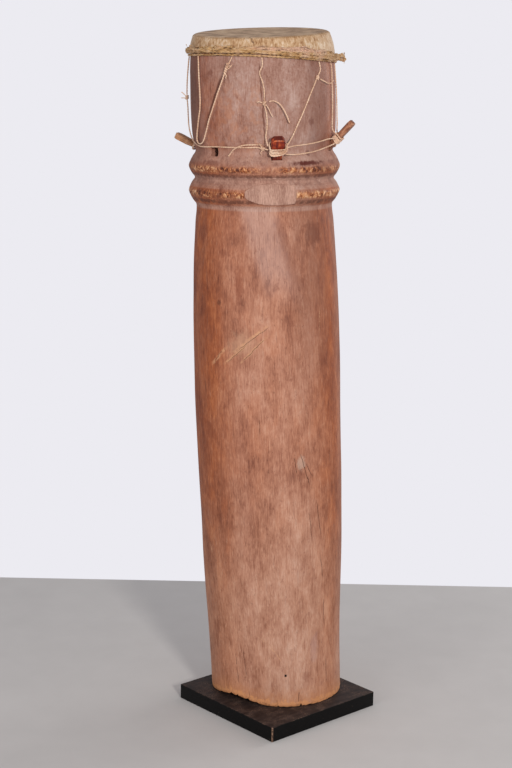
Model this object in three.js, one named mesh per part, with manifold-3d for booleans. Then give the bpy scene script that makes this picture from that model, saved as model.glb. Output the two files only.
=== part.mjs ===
// A tall ceremonial peg drum. One hollowed log with two carved rings stands on a square black plinth.
// A hide head is held by a rolled hoop, which cord lacing pulls down to wooden pegs in the wall.
// Millimetres, +Z up. The origin is the centre of the plinth's underside, with X and Y along its edges.
// The drum's own axes: azimuth is in degrees from its front (-Y), growing towards its right (+X),
// and height is measured along the log from its foot.
import * as THREE from 'three';
import { mergeVertices } from 'three/addons/utils/BufferGeometryUtils.js';
import Module from 'manifold-3d';

const wasm = await Module();
wasm.setup();

const degree = Math.PI / 180;
const touch = 0.3; // gap between pieces that touch

// Plinth
const plinthSide = 280;
const plinthHeight = 30;
const plinthEdge = 1;

// How the log stands: its front faces a corner of the plinth, and it leans to its own left
const drumTurn = -42 * degree;
const drumLean = 2.41 * degree;
const footCentre = { x: -3.3, y: 20 };

// Log: outlines are [height, radius]
const turnSegments = 40; // facets round the log and what hugs it
const bodyOutline = [
  [0, 131.8], [97, 133.4], [268, 139.4], [560, 144.2], [838, 141.2], [954, 134.4], [987, 131.5],
];
// The log isn't quite straight: [height, how far its middle lies to the drum's right]
const logSway = [[0, 2.2], [340, -0.6], [700, -1.9], [960, -0.5], [1080, 1.2], [1200, 1.4], [1309, 0.8]];
const bodySteps = 9;
const lowerRing = { crest: 1014, radius: 145.9 };
const ringGroove = { height: 1037.5, radius: 133.8 };
const upperRing = { crest: 1060, radius: 145.5 };
const neckOutline = [[1088, 131.8], [1103, 134], [1126, 137.2], [1173, 138.5], [1238, 137.4]];
const ringFlankSteps = 3;
const ringRoundness = 0.55;
const ringTilt = 3.5; // the rings sink towards the drum's right
const ringTiltReach = 110;
// The mouth tapers in above the neck: [share of the way up to the rim, radius]
const mouthOutline = [[0, 137.4], [0.35, 135.9], [0.62, 133.8], [0.82, 130.4], [1, 126.4]];
const boreOutline = [[0, 108], [300, 116], [700, 119], [1238, 111]];
const rimHeight = 1309;
const rimTilt = 11; // the rim is low at the front and high at the back
const footDepthRatio = 0.915; // the foot is flatter front to back than side to side
const trunkDepthRatio = 0.985;
const footOvalReach = 450;
const footWear = { height: 6, inset: 4 };
const footFade = 97;
const footChip = { azimuth: -40, spread: 24, depth: 13 };
const ringFacet = { azimuth: 5, reach: 137, low: 990, high: 1045, spread: 19.5 };

// Hide head and hoop
const hideThickness = 2;
const hideGap = 0.7; // from the wood to the skirt
const hideEdgeBelowHoop = 4;
const hoopHeight = 1270.5;
const hoopTilt = 9.5;
const hoopWave = 2;
const hoopDepth = 5.5;
const hoopTall = 11;
const hoopCordDiameter = 4.5;
const hoopEndDiameter = 7;

// Pegs and their holes: rise is the slope above level, reach the length outside the wall
const pegHeight = 1088; // unless a peg states its own
const pegTail = 18;
const pegTailWidth = 14;
const pegNip = 6;
const pegEdge = 1;
const holeTail = 34;
const pegs = [
  {
    name: 'front',
    azimuth: 9.7,
    height: 1083.5,
    rise: 52,
    reach: 43,
    width: 28,
    thickness: 15,
    colour: 0x8a3f22,
  },
  {
    name: 'right',
    azimuth: 72,
    height: 1096,
    rise: 45,
    reach: 62,
    width: 24,
    thickness: 11,
    colour: 0xa56f4e,
  },
  { name: 'back_right', azimuth: 132, rise: 45, reach: 55, width: 26, thickness: 12, colour: 0xa06a48 },
  { name: 'back', azimuth: 192, rise: 42, reach: 50, width: 28, thickness: 13, colour: 0x96603f },
  {
    name: 'left',
    azimuth: 252,
    height: 1094.5,
    rise: 27,
    reach: 53,
    width: 24,
    thickness: 11.5,
    wrapFrom: 5,
    wrapLength: 6,
    colour: 0xb1815d,
  },
];
const emptyHole = { azimuth: -44, rise: 8, width: 18, height: 17, middle: 1092, length: 70 };

// The cord round a peg lies between square to the peg and along the wall
const wrapStart = 11.5;
const wrapSpan = 16;
const wrapSlant = 0.3;

// Lacing
const cordDiameter = 2.8;
const cordLay = 0.5; // gap from the cord to the wood
const knotRadius = 3.6;

const plinthFinish = { color: 0x1f1a18, roughness: 0.45 };
const woodFinish = { color: 0xb07a5c, roughness: 0.75 };
const hideFinish = { color: 0xbfa07a, roughness: 0.6 };
const hoopFinish = { color: 0xa87f52, roughness: 0.8 };
const cordFinish = { color: 0xcdb08a, roughness: 0.85 };

// Straight-line reading of a [position, value] outline
function readOutline(outline, position) {
  const next = outline.findIndex(([stop]) => stop >= position);
  if (next <= 0) return next === 0 ? outline[0][1] : outline[outline.length - 1][1];
  const [low, lowValue] = outline[next - 1];
  const [high, highValue] = outline[next];
  return THREE.MathUtils.mapLinear(position, low, high, lowValue, highValue);
}

// The rounded flanks of the rings, from one hollow over a crest to the next
function ringFlank([fromHeight, fromRadius], [toHeight, toRadius]) {
  return Array.from({ length: ringFlankSteps - 1 }, (_, index) => {
    const share = (index + 1) / ringFlankSteps;
    const rising = toRadius > fromRadius;
    const round = rising ? Math.sin(share * Math.PI / 2) : 1 - Math.cos(share * Math.PI / 2);
    const swell = THREE.MathUtils.lerp(share, round, ringRoundness);
    return [
      THREE.MathUtils.lerp(fromHeight, toHeight, share),
      THREE.MathUtils.lerp(fromRadius, toRadius, swell),
    ];
  });
}

function trunkOutline() {
  const stops = bodyOutline.map(([height, radius]) => new THREE.Vector2(height, radius));
  const body = new THREE.SplineCurve(stops).getPoints(bodySteps).map(({ x, y }) => [x, y]);
  const turns = [
    body[body.length - 1],
    [lowerRing.crest, lowerRing.radius],
    [ringGroove.height, ringGroove.radius],
    [upperRing.crest, upperRing.radius],
    neckOutline[0],
  ];
  const rings = turns.slice(1).flatMap((turn, index) => [...ringFlank(turns[index], turn), turn]);
  return [...body, ...rings, ...neckOutline.slice(1)];
}

const outerOutline = trunkOutline();
const neckTop = neckOutline[neckOutline.length - 1][0];
const rimRadius = mouthOutline[mouthOutline.length - 1][1];

// Height of the tilted head at a share of the way from its middle to its rim
function headAt(azimuth, share = 1) {
  return rimHeight - rimTilt * Math.cos(azimuth * degree) * share;
}

function mouthAt(azimuth, share = 1) {
  return headAt(azimuth, share) - hideThickness - touch;
}

function depthRatio(height) {
  const rise = THREE.MathUtils.smoothstep(height, 0, footOvalReach);
  return THREE.MathUtils.lerp(footDepthRatio, trunkDepthRatio, rise);
}

// How far the rings' tilt moves a point of the outline down the log
function ringShift(azimuth, height) {
  const middle = ringGroove.height;
  const weight = 1 - THREE.MathUtils.smoothstep(Math.abs(height - middle), 0, ringTiltReach);
  return ringTilt * Math.sin(azimuth * degree) * weight;
}

function facetLimit(azimuth, height) {
  const away = Math.abs(azimuth - ringFacet.azimuth);
  const turn = Math.min(away, 360 - away);
  const inside = turn < ringFacet.spread && height > ringFacet.low && height < ringFacet.high;
  return inside ? ringFacet.reach / Math.cos(turn * degree) : Infinity;
}

function trunkRadius(azimuth, height) {
  if (height > neckTop) {
    const share = (height - neckTop) / (mouthAt(azimuth) - neckTop);
    return readOutline(mouthOutline, share);
  }
  const level = height + ringShift(azimuth, height);
  return Math.min(readOutline(outerOutline, level), facetLimit(azimuth, height));
}

// A point round the straight bore
function boreAt(azimuth, height, radius) {
  const angle = azimuth * degree;
  return new THREE.Vector3(radius * Math.sin(angle), -radius * Math.cos(angle) * depthRatio(height), height);
}

// A point round the outside, which sways about the bore
function polar(azimuth, height, radius) {
  const point = boreAt(azimuth, height, radius);
  point.x += readOutline(logSway, height);
  return point;
}

function onTrunk(azimuth, height, proud = 0) {
  return polar(azimuth, height, trunkRadius(azimuth, height) + proud);
}

function hoopAt(azimuth) {
  const angle = azimuth * degree;
  return hoopHeight - hoopTilt * Math.sin(angle) + hoopWave * Math.cos(2 * angle);
}

// A shell turned about the log's axis: place(row, azimuth) gives each point of its outline
function turned(rows, segments, closedOutline, place) {
  const stations = closedOutline ? rows + 1 : rows;
  const outline = Array.from({ length: stations }, (_, row) => new THREE.Vector2(1, row));
  const geometry = new THREE.LatheGeometry(outline, segments);
  const { position } = geometry.attributes;
  for (let index = 0; index < position.count; index += 1) {
    const azimuth = 360 * (Math.floor(index / stations) % segments) / segments;
    const point = place(index % stations % rows, azimuth);
    position.setXYZ(index, point.x, point.y, point.z);
  }
  geometry.computeVertexNormals();
  return geometry;
}

function toSolid(geometry, matrix = new THREE.Matrix4()) {
  const bare = geometry.clone().applyMatrix4(matrix);
  bare.deleteAttribute('normal');
  bare.deleteAttribute('uv');
  const merged = mergeVertices(bare);
  return new wasm.Manifold(new wasm.Mesh({
    numProp: 3,
    vertProperties: Float32Array.from(merged.attributes.position.array),
    triVerts: Uint32Array.from(merged.index.array),
  }));
}

function toGeometry(solid) {
  const { vertProperties, triVerts } = solid.getMesh();
  const geometry = new THREE.BufferGeometry();
  geometry.setAttribute('position', new THREE.BufferAttribute(vertProperties, 3));
  geometry.setIndex(new THREE.BufferAttribute(triVerts, 1));
  geometry.computeVertexNormals();
  return geometry;
}

function join(geometries) {
  const solids = geometries.map((geometry) => toSolid(geometry));
  return toGeometry(solids.reduce((whole, solid) => whole.add(solid)));
}

function addMesh(parent, name, geometry, finish) {
  const mesh = new THREE.Mesh(geometry, new THREE.MeshStandardMaterial({ metalness: 0, ...finish }));
  mesh.name = name;
  parent.add(mesh);
  return mesh;
}

// Plinth: a square plate with slightly eased edges
function plinthGeometry() {
  const half = plinthSide / 2 - plinthEdge;
  const square = new THREE.Shape();
  square.moveTo(-half, -half).lineTo(half, -half).lineTo(half, half).lineTo(-half, half).closePath();
  const plate = new THREE.ExtrudeGeometry(square, {
    depth: plinthHeight - 2 * plinthEdge,
    bevelThickness: plinthEdge,
    bevelSize: plinthEdge,
    bevelSegments: 1,
  });
  return plate.translate(0, 0, plinthEdge);
}

// The foot is cut level although the log leans, and its left front edge is broken away
function footLine(azimuth, radius) {
  const x = radius * Math.sin(azimuth * degree);
  const turn = THREE.MathUtils.euclideanModulo(azimuth - footChip.azimuth + 180, 360) - 180;
  const chip = footChip.depth * Math.exp(-((turn / footChip.spread) ** 2));
  return chip - x * Math.tan(drumLean);
}

function trunkGeometry() {
  const footRadius = bodyOutline[0][1];
  const wornEdge = [[0, footRadius - footWear.inset], [footWear.height, footRadius]];
  const outside = [...wornEdge, ...outerOutline.slice(1)];
  const mouth = mouthOutline.slice(1);
  const inside = [...boreOutline].reverse();
  const mouthBore = inside[0][1];
  const rowCount = outside.length + mouth.length + 1 + inside.length;

  function place(row, azimuth) {
    if (row < outside.length) {
      const [height, plainRadius] = outside[row];
      const fade = 1 - THREE.MathUtils.smoothstep(height, footWear.height, footFade);
      const level = height + footLine(azimuth, plainRadius) * fade - ringShift(azimuth, height);
      const radius = height > footWear.height ? trunkRadius(azimuth, level) : plainRadius;
      return polar(azimuth, level, radius);
    }
    const mouthRow = row - outside.length;
    if (mouthRow < mouth.length) {
      const [share, radius] = mouth[mouthRow];
      return polar(azimuth, THREE.MathUtils.lerp(neckTop, mouthAt(azimuth), share), radius);
    }
    if (mouthRow === mouth.length) return boreAt(azimuth, mouthAt(azimuth, mouthBore / rimRadius), mouthBore);
    const [height, radius] = inside[mouthRow - mouth.length - 1];
    const level = height === 0 ? footLine(azimuth, radius) : height;
    return boreAt(azimuth, level, radius);
  }

  let log = toSolid(turned(rowCount, turnSegments, true, place));
  for (const peg of pegs) log = log.subtract(toSolid(pegHoleGeometry(peg), pegFrame(peg)));
  log = log.subtract(toSolid(emptyHoleGeometry(), pegFrame({ ...emptyHole, height: emptyHole.middle })));
  return toGeometry(log);
}

// A peg's own axes: X across its width, Z out along it, from the middle of its hole in the wall
function pegFrame({ azimuth, rise, height = pegHeight }) {
  const turn = azimuth * degree;
  const slope = rise * degree;
  const outward = new THREE.Vector3(Math.sin(turn), -Math.cos(turn), 0);
  const along = outward.multiplyScalar(Math.cos(slope)).setZ(Math.sin(slope));
  const across = new THREE.Vector3(Math.cos(turn), Math.sin(turn), 0);
  const frame = new THREE.Matrix4().makeBasis(across, along.clone().cross(across), along);
  return frame.setPosition(onTrunk(azimuth, height));
}

// A slab tapered towards its tail, laid out along +Z with its thickness along Y
function slabGeometry({ width, reach, thickness }, tail, grow, edge) {
  const half = width / 2 + grow;
  const tailHalf = pegTailWidth / 2 + grow;
  const side = new THREE.Shape();
  side.moveTo(-tailHalf, -tail).lineTo(tailHalf, -tail).lineTo(half, reach - 2 * pegNip);
  side.lineTo(half - pegNip, reach).lineTo(-half + pegNip, reach);
  side.lineTo(-half, reach - 2 * pegNip).closePath();
  const slab = new THREE.ExtrudeGeometry(side, {
    depth: thickness + 2 * grow - 2 * edge,
    bevelEnabled: edge > 0,
    bevelThickness: edge,
    bevelSize: edge,
    bevelOffset: -edge,
    bevelSegments: 1,
  });
  return slab.translate(0, 0, edge - thickness / 2 - grow).rotateX(Math.PI / 2);
}

function pegGeometry(peg) {
  return slabGeometry(peg, pegTail, 0, pegEdge);
}

function pegHoleGeometry(peg) {
  return slabGeometry(peg, holeTail, touch, 0);
}

function emptyHoleGeometry() {
  return new THREE.BoxGeometry(emptyHole.width, emptyHole.height, emptyHole.length);
}

function cutCornerOutline(width, depth, corner) {
  const x = width / 2;
  const y = depth / 2;
  const quarter = [[x, -y + corner], [x, y - corner], [x - corner, y], [-x + corner, y]];
  const points = [...quarter, ...quarter.map(([u, v]) => [-u, -v])];
  return points.map(([u, v]) => new THREE.Vector2(u, v));
}

function pegWidth({ width, reach }, along) {
  const share = (along + pegTail) / (reach - 2 * pegNip + pegTail);
  return THREE.MathUtils.lerp(pegTailWidth, width, Math.min(share, 1));
}

function wrapShear({ rise }) {
  return wrapSlant * Math.tan(rise * degree);
}

// The turns of cord round a peg, as one sleeve that narrows with the peg
function wrapGeometry(peg) {
  const { width, thickness, wrapFrom = wrapStart, wrapLength = wrapSpan } = peg;
  const girth = width + 2 * touch;
  const depth = thickness + 2 * touch;
  const cordGirth = girth + 2 * cordDiameter;
  const cordDepth = depth + 2 * cordDiameter;
  const sleeve = new THREE.Shape(cutCornerOutline(cordGirth, cordDepth, cordDiameter));
  sleeve.holes.push(new THREE.Path(cutCornerOutline(girth, depth, touch)));
  const wrap = new THREE.ExtrudeGeometry(sleeve, { depth: wrapLength, bevelEnabled: false });
  const slant = new THREE.Matrix4().makeShear(0, 0, 0, wrapShear(peg), 0, 0);
  wrap.translate(0, 0, wrapFrom).applyMatrix4(slant);
  const { position } = wrap.attributes;
  for (let index = 0; index < position.count; index += 1) {
    const x = position.getX(index);
    const narrowing = (width - pegWidth(peg, position.getZ(index))) / 2;
    position.setX(index, x - Math.sign(x) * narrowing);
  }
  wrap.computeVertexNormals();
  return wrap;
}

// Hide head: from the middle of its underside, out and down inside the skirt, then up and over
function hideGeometry() {
  const skirtShares = [0, 0.3, 0.6, 1];
  const discShares = [0, 0.93];
  const innerRows = discShares.length + skirtShares.length;
  const rowCount = 2 * innerRows;

  function skin(row, azimuth, proud) {
    if (row < discShares.length) {
      const share = discShares[row];
      const level = headAt(azimuth, share) - hideThickness + proud;
      return polar(azimuth, level, rimRadius * share);
    }
    const share = skirtShares[row - discShares.length];
    const edge = hoopAt(azimuth) - hideEdgeBelowHoop;
    const top = headAt(azimuth) - hideThickness;
    const level = THREE.MathUtils.lerp(top, edge, share);
    const wood = trunkRadius(azimuth, level) + hideGap;
    if (share === 0) return polar(azimuth, level + proud / 2, wood + proud / 2);
    return polar(azimuth, level, wood + proud);
  }

  return turned(rowCount, turnSegments, false, (row, azimuth) => (
    row < innerRows ? skin(row, azimuth, 0) : skin(rowCount - 1 - row, azimuth, hideThickness)
  ));
}

function ringOfCord(sides, halfDepth, halfHeight, middle) {
  return turned(sides, turnSegments, true, (side, azimuth) => {
    const angle = 2 * Math.PI * side / sides;
    const { radius, height } = middle(azimuth);
    return polar(azimuth, height + halfHeight * Math.sin(angle), radius + halfDepth * Math.cos(angle));
  });
}

function hoopMiddle(azimuth) {
  const height = hoopAt(azimuth);
  const skirt = trunkRadius(azimuth, height - hoopTall / 2) + hideGap + hideThickness + touch;
  return { height, radius: skirt + hoopDepth / 2 };
}

function hoopGeometry() {
  const roll = ringOfCord(8, hoopDepth / 2, hoopTall / 2, hoopMiddle);
  const end = [[84, 0, 0], [89, 6, 1], [92, 12, -2], [93, 15, -6]].map(([azimuth, out, lift]) => {
    const { radius, height } = hoopMiddle(azimuth);
    return polar(azimuth, height + lift, radius + out);
  });
  return join([roll, cordAlong(end, 4, hoopEndDiameter)]);
}

function hoopCordGeometry() {
  return ringOfCord(6, hoopCordDiameter / 2, hoopCordDiameter / 2, (azimuth) => {
    const height = hoopAt(azimuth) - (hoopTall + hoopCordDiameter) / 2 - touch;
    const wood = trunkRadius(azimuth, height - hoopCordDiameter / 2);
    return { height, radius: wood + cordLay + hoopCordDiameter / 2 };
  });
}

function cordAlong(points, steps, diameter = cordDiameter) {
  const section = new THREE.Shape();
  section.absarc(0, 0, diameter / 2, 0, 2 * Math.PI);
  const extrudePath = new THREE.CatmullRomCurve3(points, false, 'centripetal');
  return new THREE.ExtrudeGeometry(section, { steps, curveSegments: 4, extrudePath, bevelEnabled: false });
}

// A route's stops are [azimuth, height, distance off the wood]
function onWood(stops) {
  const middle = cordLay + cordDiameter / 2;
  return stops.map(([azimuth, height, off = 0]) => onTrunk(azimuth, height, middle + off));
}

function underHoop(azimuth) {
  return [azimuth, hoopAt(azimuth) - hoopTall / 2 - hoopCordDiameter - 3 * touch, touch];
}

function knotAt([azimuth, height, off = 0]) {
  const place = onTrunk(azimuth, height, cordLay + knotRadius + off);
  return new THREE.SphereGeometry(knotRadius, 6, 4).translate(place.x, place.y, place.z);
}

// Where a cord meets a peg's wrap: side is -1 for its left and 1 for its right, share is the way
// along it, and drop the distance down from the middle of the peg
function besideWrap(name, side, share, drop = 0) {
  const peg = pegs.find((candidate) => candidate.name === name);
  const { wrapFrom = wrapStart, wrapLength = wrapSpan } = peg;
  const along = wrapFrom + share * wrapLength - drop * wrapShear(peg);
  const off = pegWidth(peg, along) / 2 + 1.5 * cordDiameter + 3 * touch;
  return new THREE.Vector3(side * off, -drop, along).applyMatrix4(pegFrame(peg));
}

// Cord runs seen from the front, then those on the far side
function addLacing(drum) {
  const runs = [
    {
      name: 'lacing_front_left',
      points: [...onWood([underHoop(0), [0, 1247], [-2, 1235], [0, 1218], [1, 1204], [1, 1179],
        [2.5, 1159], [2.5, 1136], [1.5, 1120, 3]]), besideWrap('front', -1, 0.85)],
      steps: 14,
      knot: [1, 1180],
    },
    {
      name: 'lacing_front_right',
      points: [...onWood([underHoop(49), [50, 1237], [46, 1223], [35, 1178], [28.5, 1148], [22, 1120, 3]]),
        besideWrap('front', 1, 0.95)],
      steps: 14,
      knot: [46, 1223],
    },
    {
      name: 'lacing_right_front',
      points: [...onWood([underHoop(67), [68, 1236], [68, 1209], [68, 1181], [67, 1146], [65, 1126, 4]]),
        besideWrap('right', -1, 0.95)],
      steps: 10,
    },
    {
      name: 'lacing_slack_loop',
      points: onWood([underHoop(-59), [-57, 1238, 1], [-55, 1188, 2], [-56, 1169, 2], [-59, 1147, 2],
        [-63, 1123, 1.5], [-64.5, 1114, 1.5], [-63, 1109, 2], [-59.5, 1106.5, 3], [-55, 1109, 3.5],
        [-51, 1117, 4.5], [-44, 1149, 5.5], [-37, 1186, 5.5], [-32, 1215, 4.5], [-28, 1241, 2],
        underHoop(-23)]),
      steps: 26,
    },
    {
      name: 'lacing_left_girth',
      points: [...onWood([underHoop(-84), [-87, 1240, 2], [-89, 1215, 3.5], [-90, 1191, 4], [-90, 1163, 3],
        [-86, 1135, 2.5], [-78, 1114, 1], [-69, 1105], [-61, 1101.5], [-50, 1101.5], [-40, 1102],
        [-25, 1101], [-10, 1100.5], [-3.5, 1100, 0.5]]), besideWrap('front', -1, 0.3)],
      steps: 32,
      knot: [-90, 1191, 4],
    },
    {
      name: 'girth_right_upper',
      points: [besideWrap('front', 1, 0.5), ...onWood([[23, 1101, 3], [30, 1102, 0.5], [41, 1104],
        [52, 1107], [60, 1110, 4]]), besideWrap('right', -1, 0.5)],
      steps: 12,
    },
    {
      name: 'girth_right_lower',
      points: [besideWrap('front', 1, 0.05, 7), ...onWood([[24, 1085.5, 3], [34, 1086.5, 1], [46, 1089],
        [57, 1094, 2]]), besideWrap('right', -1, 0.05, 5)],
      steps: 10,
    },
    {
      name: 'lacing_right_back',
      points: [...onWood([underHoop(97), [92, 1200], [84, 1140, 1], [80.5, 1118, 4]]),
        besideWrap('right', 1, 0.95)],
      steps: 8,
    },
    {
      name: 'lacing_back_right_near',
      points: [...onWood([underHoop(112), [117, 1200], [123, 1140, 1], [125, 1118, 4]]),
        besideWrap('back_right', -1, 0.95)],
      steps: 8,
    },
    {
      name: 'lacing_back_right_far',
      points: [...onWood([underHoop(155), [149, 1200], [142, 1140, 1], [140, 1118, 4]]),
        besideWrap('back_right', 1, 0.95)],
      steps: 8,
    },
    {
      name: 'lacing_back_near',
      points: [...onWood([underHoop(171), [177, 1200], [183, 1140, 1], [185, 1118, 4]]),
        besideWrap('back', -1, 0.95)],
      steps: 8,
    },
    {
      name: 'lacing_back_far',
      points: [...onWood([underHoop(214), [208, 1200], [201, 1140, 1], [199, 1118, 4]]),
        besideWrap('back', 1, 0.95)],
      steps: 8,
    },
    {
      name: 'lacing_left_back',
      points: [...onWood([underHoop(231), [236, 1200], [243, 1140, 1], [245, 1118, 4]]),
        besideWrap('left', -1, 0.95)],
      steps: 8,
    },
    {
      name: 'girth_back_right',
      points: [besideWrap('right', 1, 0.05), ...onWood([[86, 1093, 2], [102, 1093], [118, 1093, 2]]),
        besideWrap('back_right', -1, 0.05)],
      steps: 10,
    },
    {
      name: 'girth_back',
      points: [besideWrap('back_right', 1, 0.05),
        ...onWood([[146, 1093, 2], [162, 1093], [178, 1093, 2]]), besideWrap('back', -1, 0.05)],
      steps: 10,
    },
    {
      name: 'girth_back_left',
      points: [besideWrap('back', 1, 0.05), ...onWood([[206, 1093, 2], [222, 1093], [238, 1093, 2]]),
        besideWrap('left', -1, 0.05)],
      steps: 10,
    },
  ];
  for (const { name, points, steps, knot } of runs) {
    const run = cordAlong(points, steps);
    addMesh(drum, name, knot ? join([run, knotAt(knot)]) : run, cordFinish);
  }
}

// Loose cord ends that stand away from their knots
function addTails(drum) {
  const tails = {
    tail_front: [[4.5, 1183, 1], [7.5, 1184, 3], [11, 1180, 6], [14, 1171, 7], [16.5, 1159, 7],
      [19, 1144, 6]],
    tail_right: [[49, 1220.5, 1], [53, 1216, 3], [58, 1212, 4], [62, 1213, 5], [64.5, 1217, 6]],
    girth_end: [[-1.5, 1105, 0.5], [-9, 1105.5, 0.5], [-15, 1105, 1], [-20, 1102, 4], [-24, 1097, 4],
      [-27, 1090, 2.5], [-28.5, 1085, 2]],
  };
  for (const [name, stops] of Object.entries(tails)) {
    addMesh(drum, name, cordAlong(onWood(stops), 8), cordFinish);
  }
}

function addPegs(drum) {
  for (const peg of pegs) {
    const frame = pegFrame(peg);
    const pieces = [
      addMesh(drum, `peg_${peg.name}`, pegGeometry(peg), { color: peg.colour, roughness: 0.55 }),
      addMesh(drum, `wrap_${peg.name}`, wrapGeometry(peg), cordFinish),
    ];
    for (const piece of pieces) frame.decompose(piece.position, piece.quaternion, piece.scale);
  }
}

const object = new THREE.Group();
addMesh(object, 'plinth', plinthGeometry(), plinthFinish);

const stand = new THREE.Group();
stand.rotation.z = drumTurn;
stand.position.z = plinthHeight + touch;
object.add(stand);

const drum = new THREE.Group();
drum.position.set(footCentre.x, footCentre.y, 0);
drum.rotation.y = -drumLean;
stand.add(drum);

addMesh(drum, 'trunk', trunkGeometry(), woodFinish);
addMesh(drum, 'hide_head', hideGeometry(), hideFinish);
addMesh(drum, 'hoop', hoopGeometry(), hoopFinish);
addMesh(drum, 'hoop_cord', hoopCordGeometry(), hoopFinish);
addPegs(drum);
addLacing(drum);
addTails(drum);

export default object;
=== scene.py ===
import math

import bmesh
import bpy
from mathutils import Matrix, Vector, noise


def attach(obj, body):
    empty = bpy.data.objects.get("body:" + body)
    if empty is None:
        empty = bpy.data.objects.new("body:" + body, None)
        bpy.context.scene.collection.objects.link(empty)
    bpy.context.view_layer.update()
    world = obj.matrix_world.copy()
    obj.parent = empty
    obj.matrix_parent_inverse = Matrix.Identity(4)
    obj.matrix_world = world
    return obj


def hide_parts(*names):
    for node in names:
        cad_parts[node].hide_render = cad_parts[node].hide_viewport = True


# the same vector noise in every run
noise.seed_set(3)

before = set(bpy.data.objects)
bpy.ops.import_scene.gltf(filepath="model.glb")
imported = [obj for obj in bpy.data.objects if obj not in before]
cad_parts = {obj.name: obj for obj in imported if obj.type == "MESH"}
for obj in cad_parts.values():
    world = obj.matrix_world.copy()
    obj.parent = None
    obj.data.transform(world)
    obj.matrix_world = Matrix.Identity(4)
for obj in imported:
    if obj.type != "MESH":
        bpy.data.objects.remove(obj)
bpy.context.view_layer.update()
print("frame loaded with", len(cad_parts), "solids")


def addObject(name, data):
    made = bpy.data.objects.new(name, data)
    bpy.context.scene.collection.objects.link(made)
    return made


# camera at the photograph's angle, in metres and degrees
cameraView = dict(place=(-2.048, -2.193, 1.2848), turn=-42, pitch=11.698, roll=1.097, lens=73.15, film=36)


def makeCamera(view):
    data = bpy.data.cameras.new("photoCamera")
    data.sensor_fit = "VERTICAL"
    data.sensor_height = view["film"]
    data.lens = view["lens"]
    camera = addObject("photoCamera", data)
    camera.matrix_world = (
        Matrix.Translation(view["place"])
        @ Matrix.Rotation(math.radians(view["turn"]), 4, "Z")
        @ Matrix.Rotation(math.radians(90 - view["pitch"]), 4, "X")
        @ Matrix.Rotation(math.radians(view["roll"]), 4, "Z")
    )
    bpy.context.scene.camera = camera


makeCamera(cameraView)
bpy.context.scene.view_settings.view_transform = "Standard"
print("camera placed")

# The drum's own axes are in millimetres: azimuth in degrees from its front, height along the log
drum = dict(turn=-42, lean=2.41, foot=(-3.3, 20, 0), base=30.3)
toPart = (
    Matrix.Scale(0.001, 4)
    @ Matrix.Translation((0, 0, drum["base"]))
    @ Matrix.Rotation(math.radians(drum["turn"]), 4, "Z")
    @ Matrix.Translation(drum["foot"])
    @ Matrix.Rotation(-math.radians(drum["lean"]), 4, "Y")
)

# outlines are (height, radius)
log = dict(
    body=[(0, 131.8), (97, 133.4), (268, 139.4), (560, 144.2), (838, 141.2), (954, 134.4), (987, 131.5)],
    rings=[(987, 131.5), (1014, 145.9), (1037.5, 133.8), (1060, 145.5), (1088, 131.8)],
    neck=[(1088, 131.8), (1103, 134), (1126, 137.2), (1173, 138.5), (1238, 137.4)],
    mouth=[(0, 137.4), (0.35, 135.9), (0.62, 133.8), (0.82, 130.4), (1, 126.4)],
    sway=[(0, 2.2), (340, -0.6), (700, -1.9), (960, -0.5), (1080, 1.2), (1200, 1.4), (1309, 0.8)],
    bore=[(0, 108), (300, 116), (700, 119), (1238, 111)],
    ringSteps=3, ringRound=0.55, ringTilt=3.5, ringTiltReach=110,
    rim=1309, rimTilt=11, rimRadius=126.4,
    footDepth=0.915, logDepth=0.985, ovalReach=450,
    footWear=6, footFade=97,
    facet=dict(azimuth=5, reach=137, low=990, high=1045, spread=19.5, blunt=8,
               leftPower=0.9, rightPower=0.25),
    segments=264, firstRow=10.5, footRow=4.4, ringRow=1.9, neckRow=4.2, mouthRows=9, sharp=38,
    footEdge=[(0, -2), (1.2, -0.7), (6, 0)], raggedTo=24, ringMargin=(8, 6), mouthInset=0.3,
    boreRows=(1238, 1100, 960, 830, 700, 500, 300, 150, 40),
)
hide = dict(thick=2, gap=0.7, belowHoop=4, corner=7, drop=6)
hoop = dict(height=1270.5, tilt=9.5, wave=2, depth=5.5, tall=11, cord=4.5)
touch = 0.3


def mixed(low, high, share):
    return low + (high - low) * share


def eased(value, low, high):
    share = min(max((value - low) / (high - low), 0), 1)
    return share * share * (3 - 2 * share)


def sine(degrees):
    return math.sin(math.radians(degrees))


def cosine(degrees):
    return math.cos(math.radians(degrees))


def turnBetween(azimuth, other):
    return (azimuth - other + 180) % 360 - 180


# weights of both ends and of their slopes at a share of the way along a smooth curve
def curveWeights(share):
    square, cube = share ** 2, share ** 3
    return 2 * cube - 3 * square + 1, cube - 2 * square + share, 3 * square - 2 * cube, cube - square


# straight or smooth reading of a list of (position, value) stops
def readStops(stops, position, smooth=False):
    if position <= stops[0][0]:
        return stops[0][1]
    if position >= stops[-1][0]:
        return stops[-1][1]
    index = next(row for row, stop in enumerate(stops) if stop[0] > position) - 1
    (low, lowValue), (high, highValue) = stops[index], stops[index + 1]
    share = (position - low) / (high - low)
    if not smooth:
        return mixed(lowValue, highValue, share)
    before, after = stops[max(index - 1, 0)], stops[min(index + 2, len(stops) - 1)]
    lowSlope = (highValue - before[1]) / (high - before[0]) * (high - low)
    highSlope = (after[1] - lowValue) / (after[0] - low) * (high - low)
    lowWeight, lowBend, highWeight, highBend = curveWeights(share)
    return lowWeight * lowValue + lowBend * lowSlope + highWeight * highValue + highBend * highSlope


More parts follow.
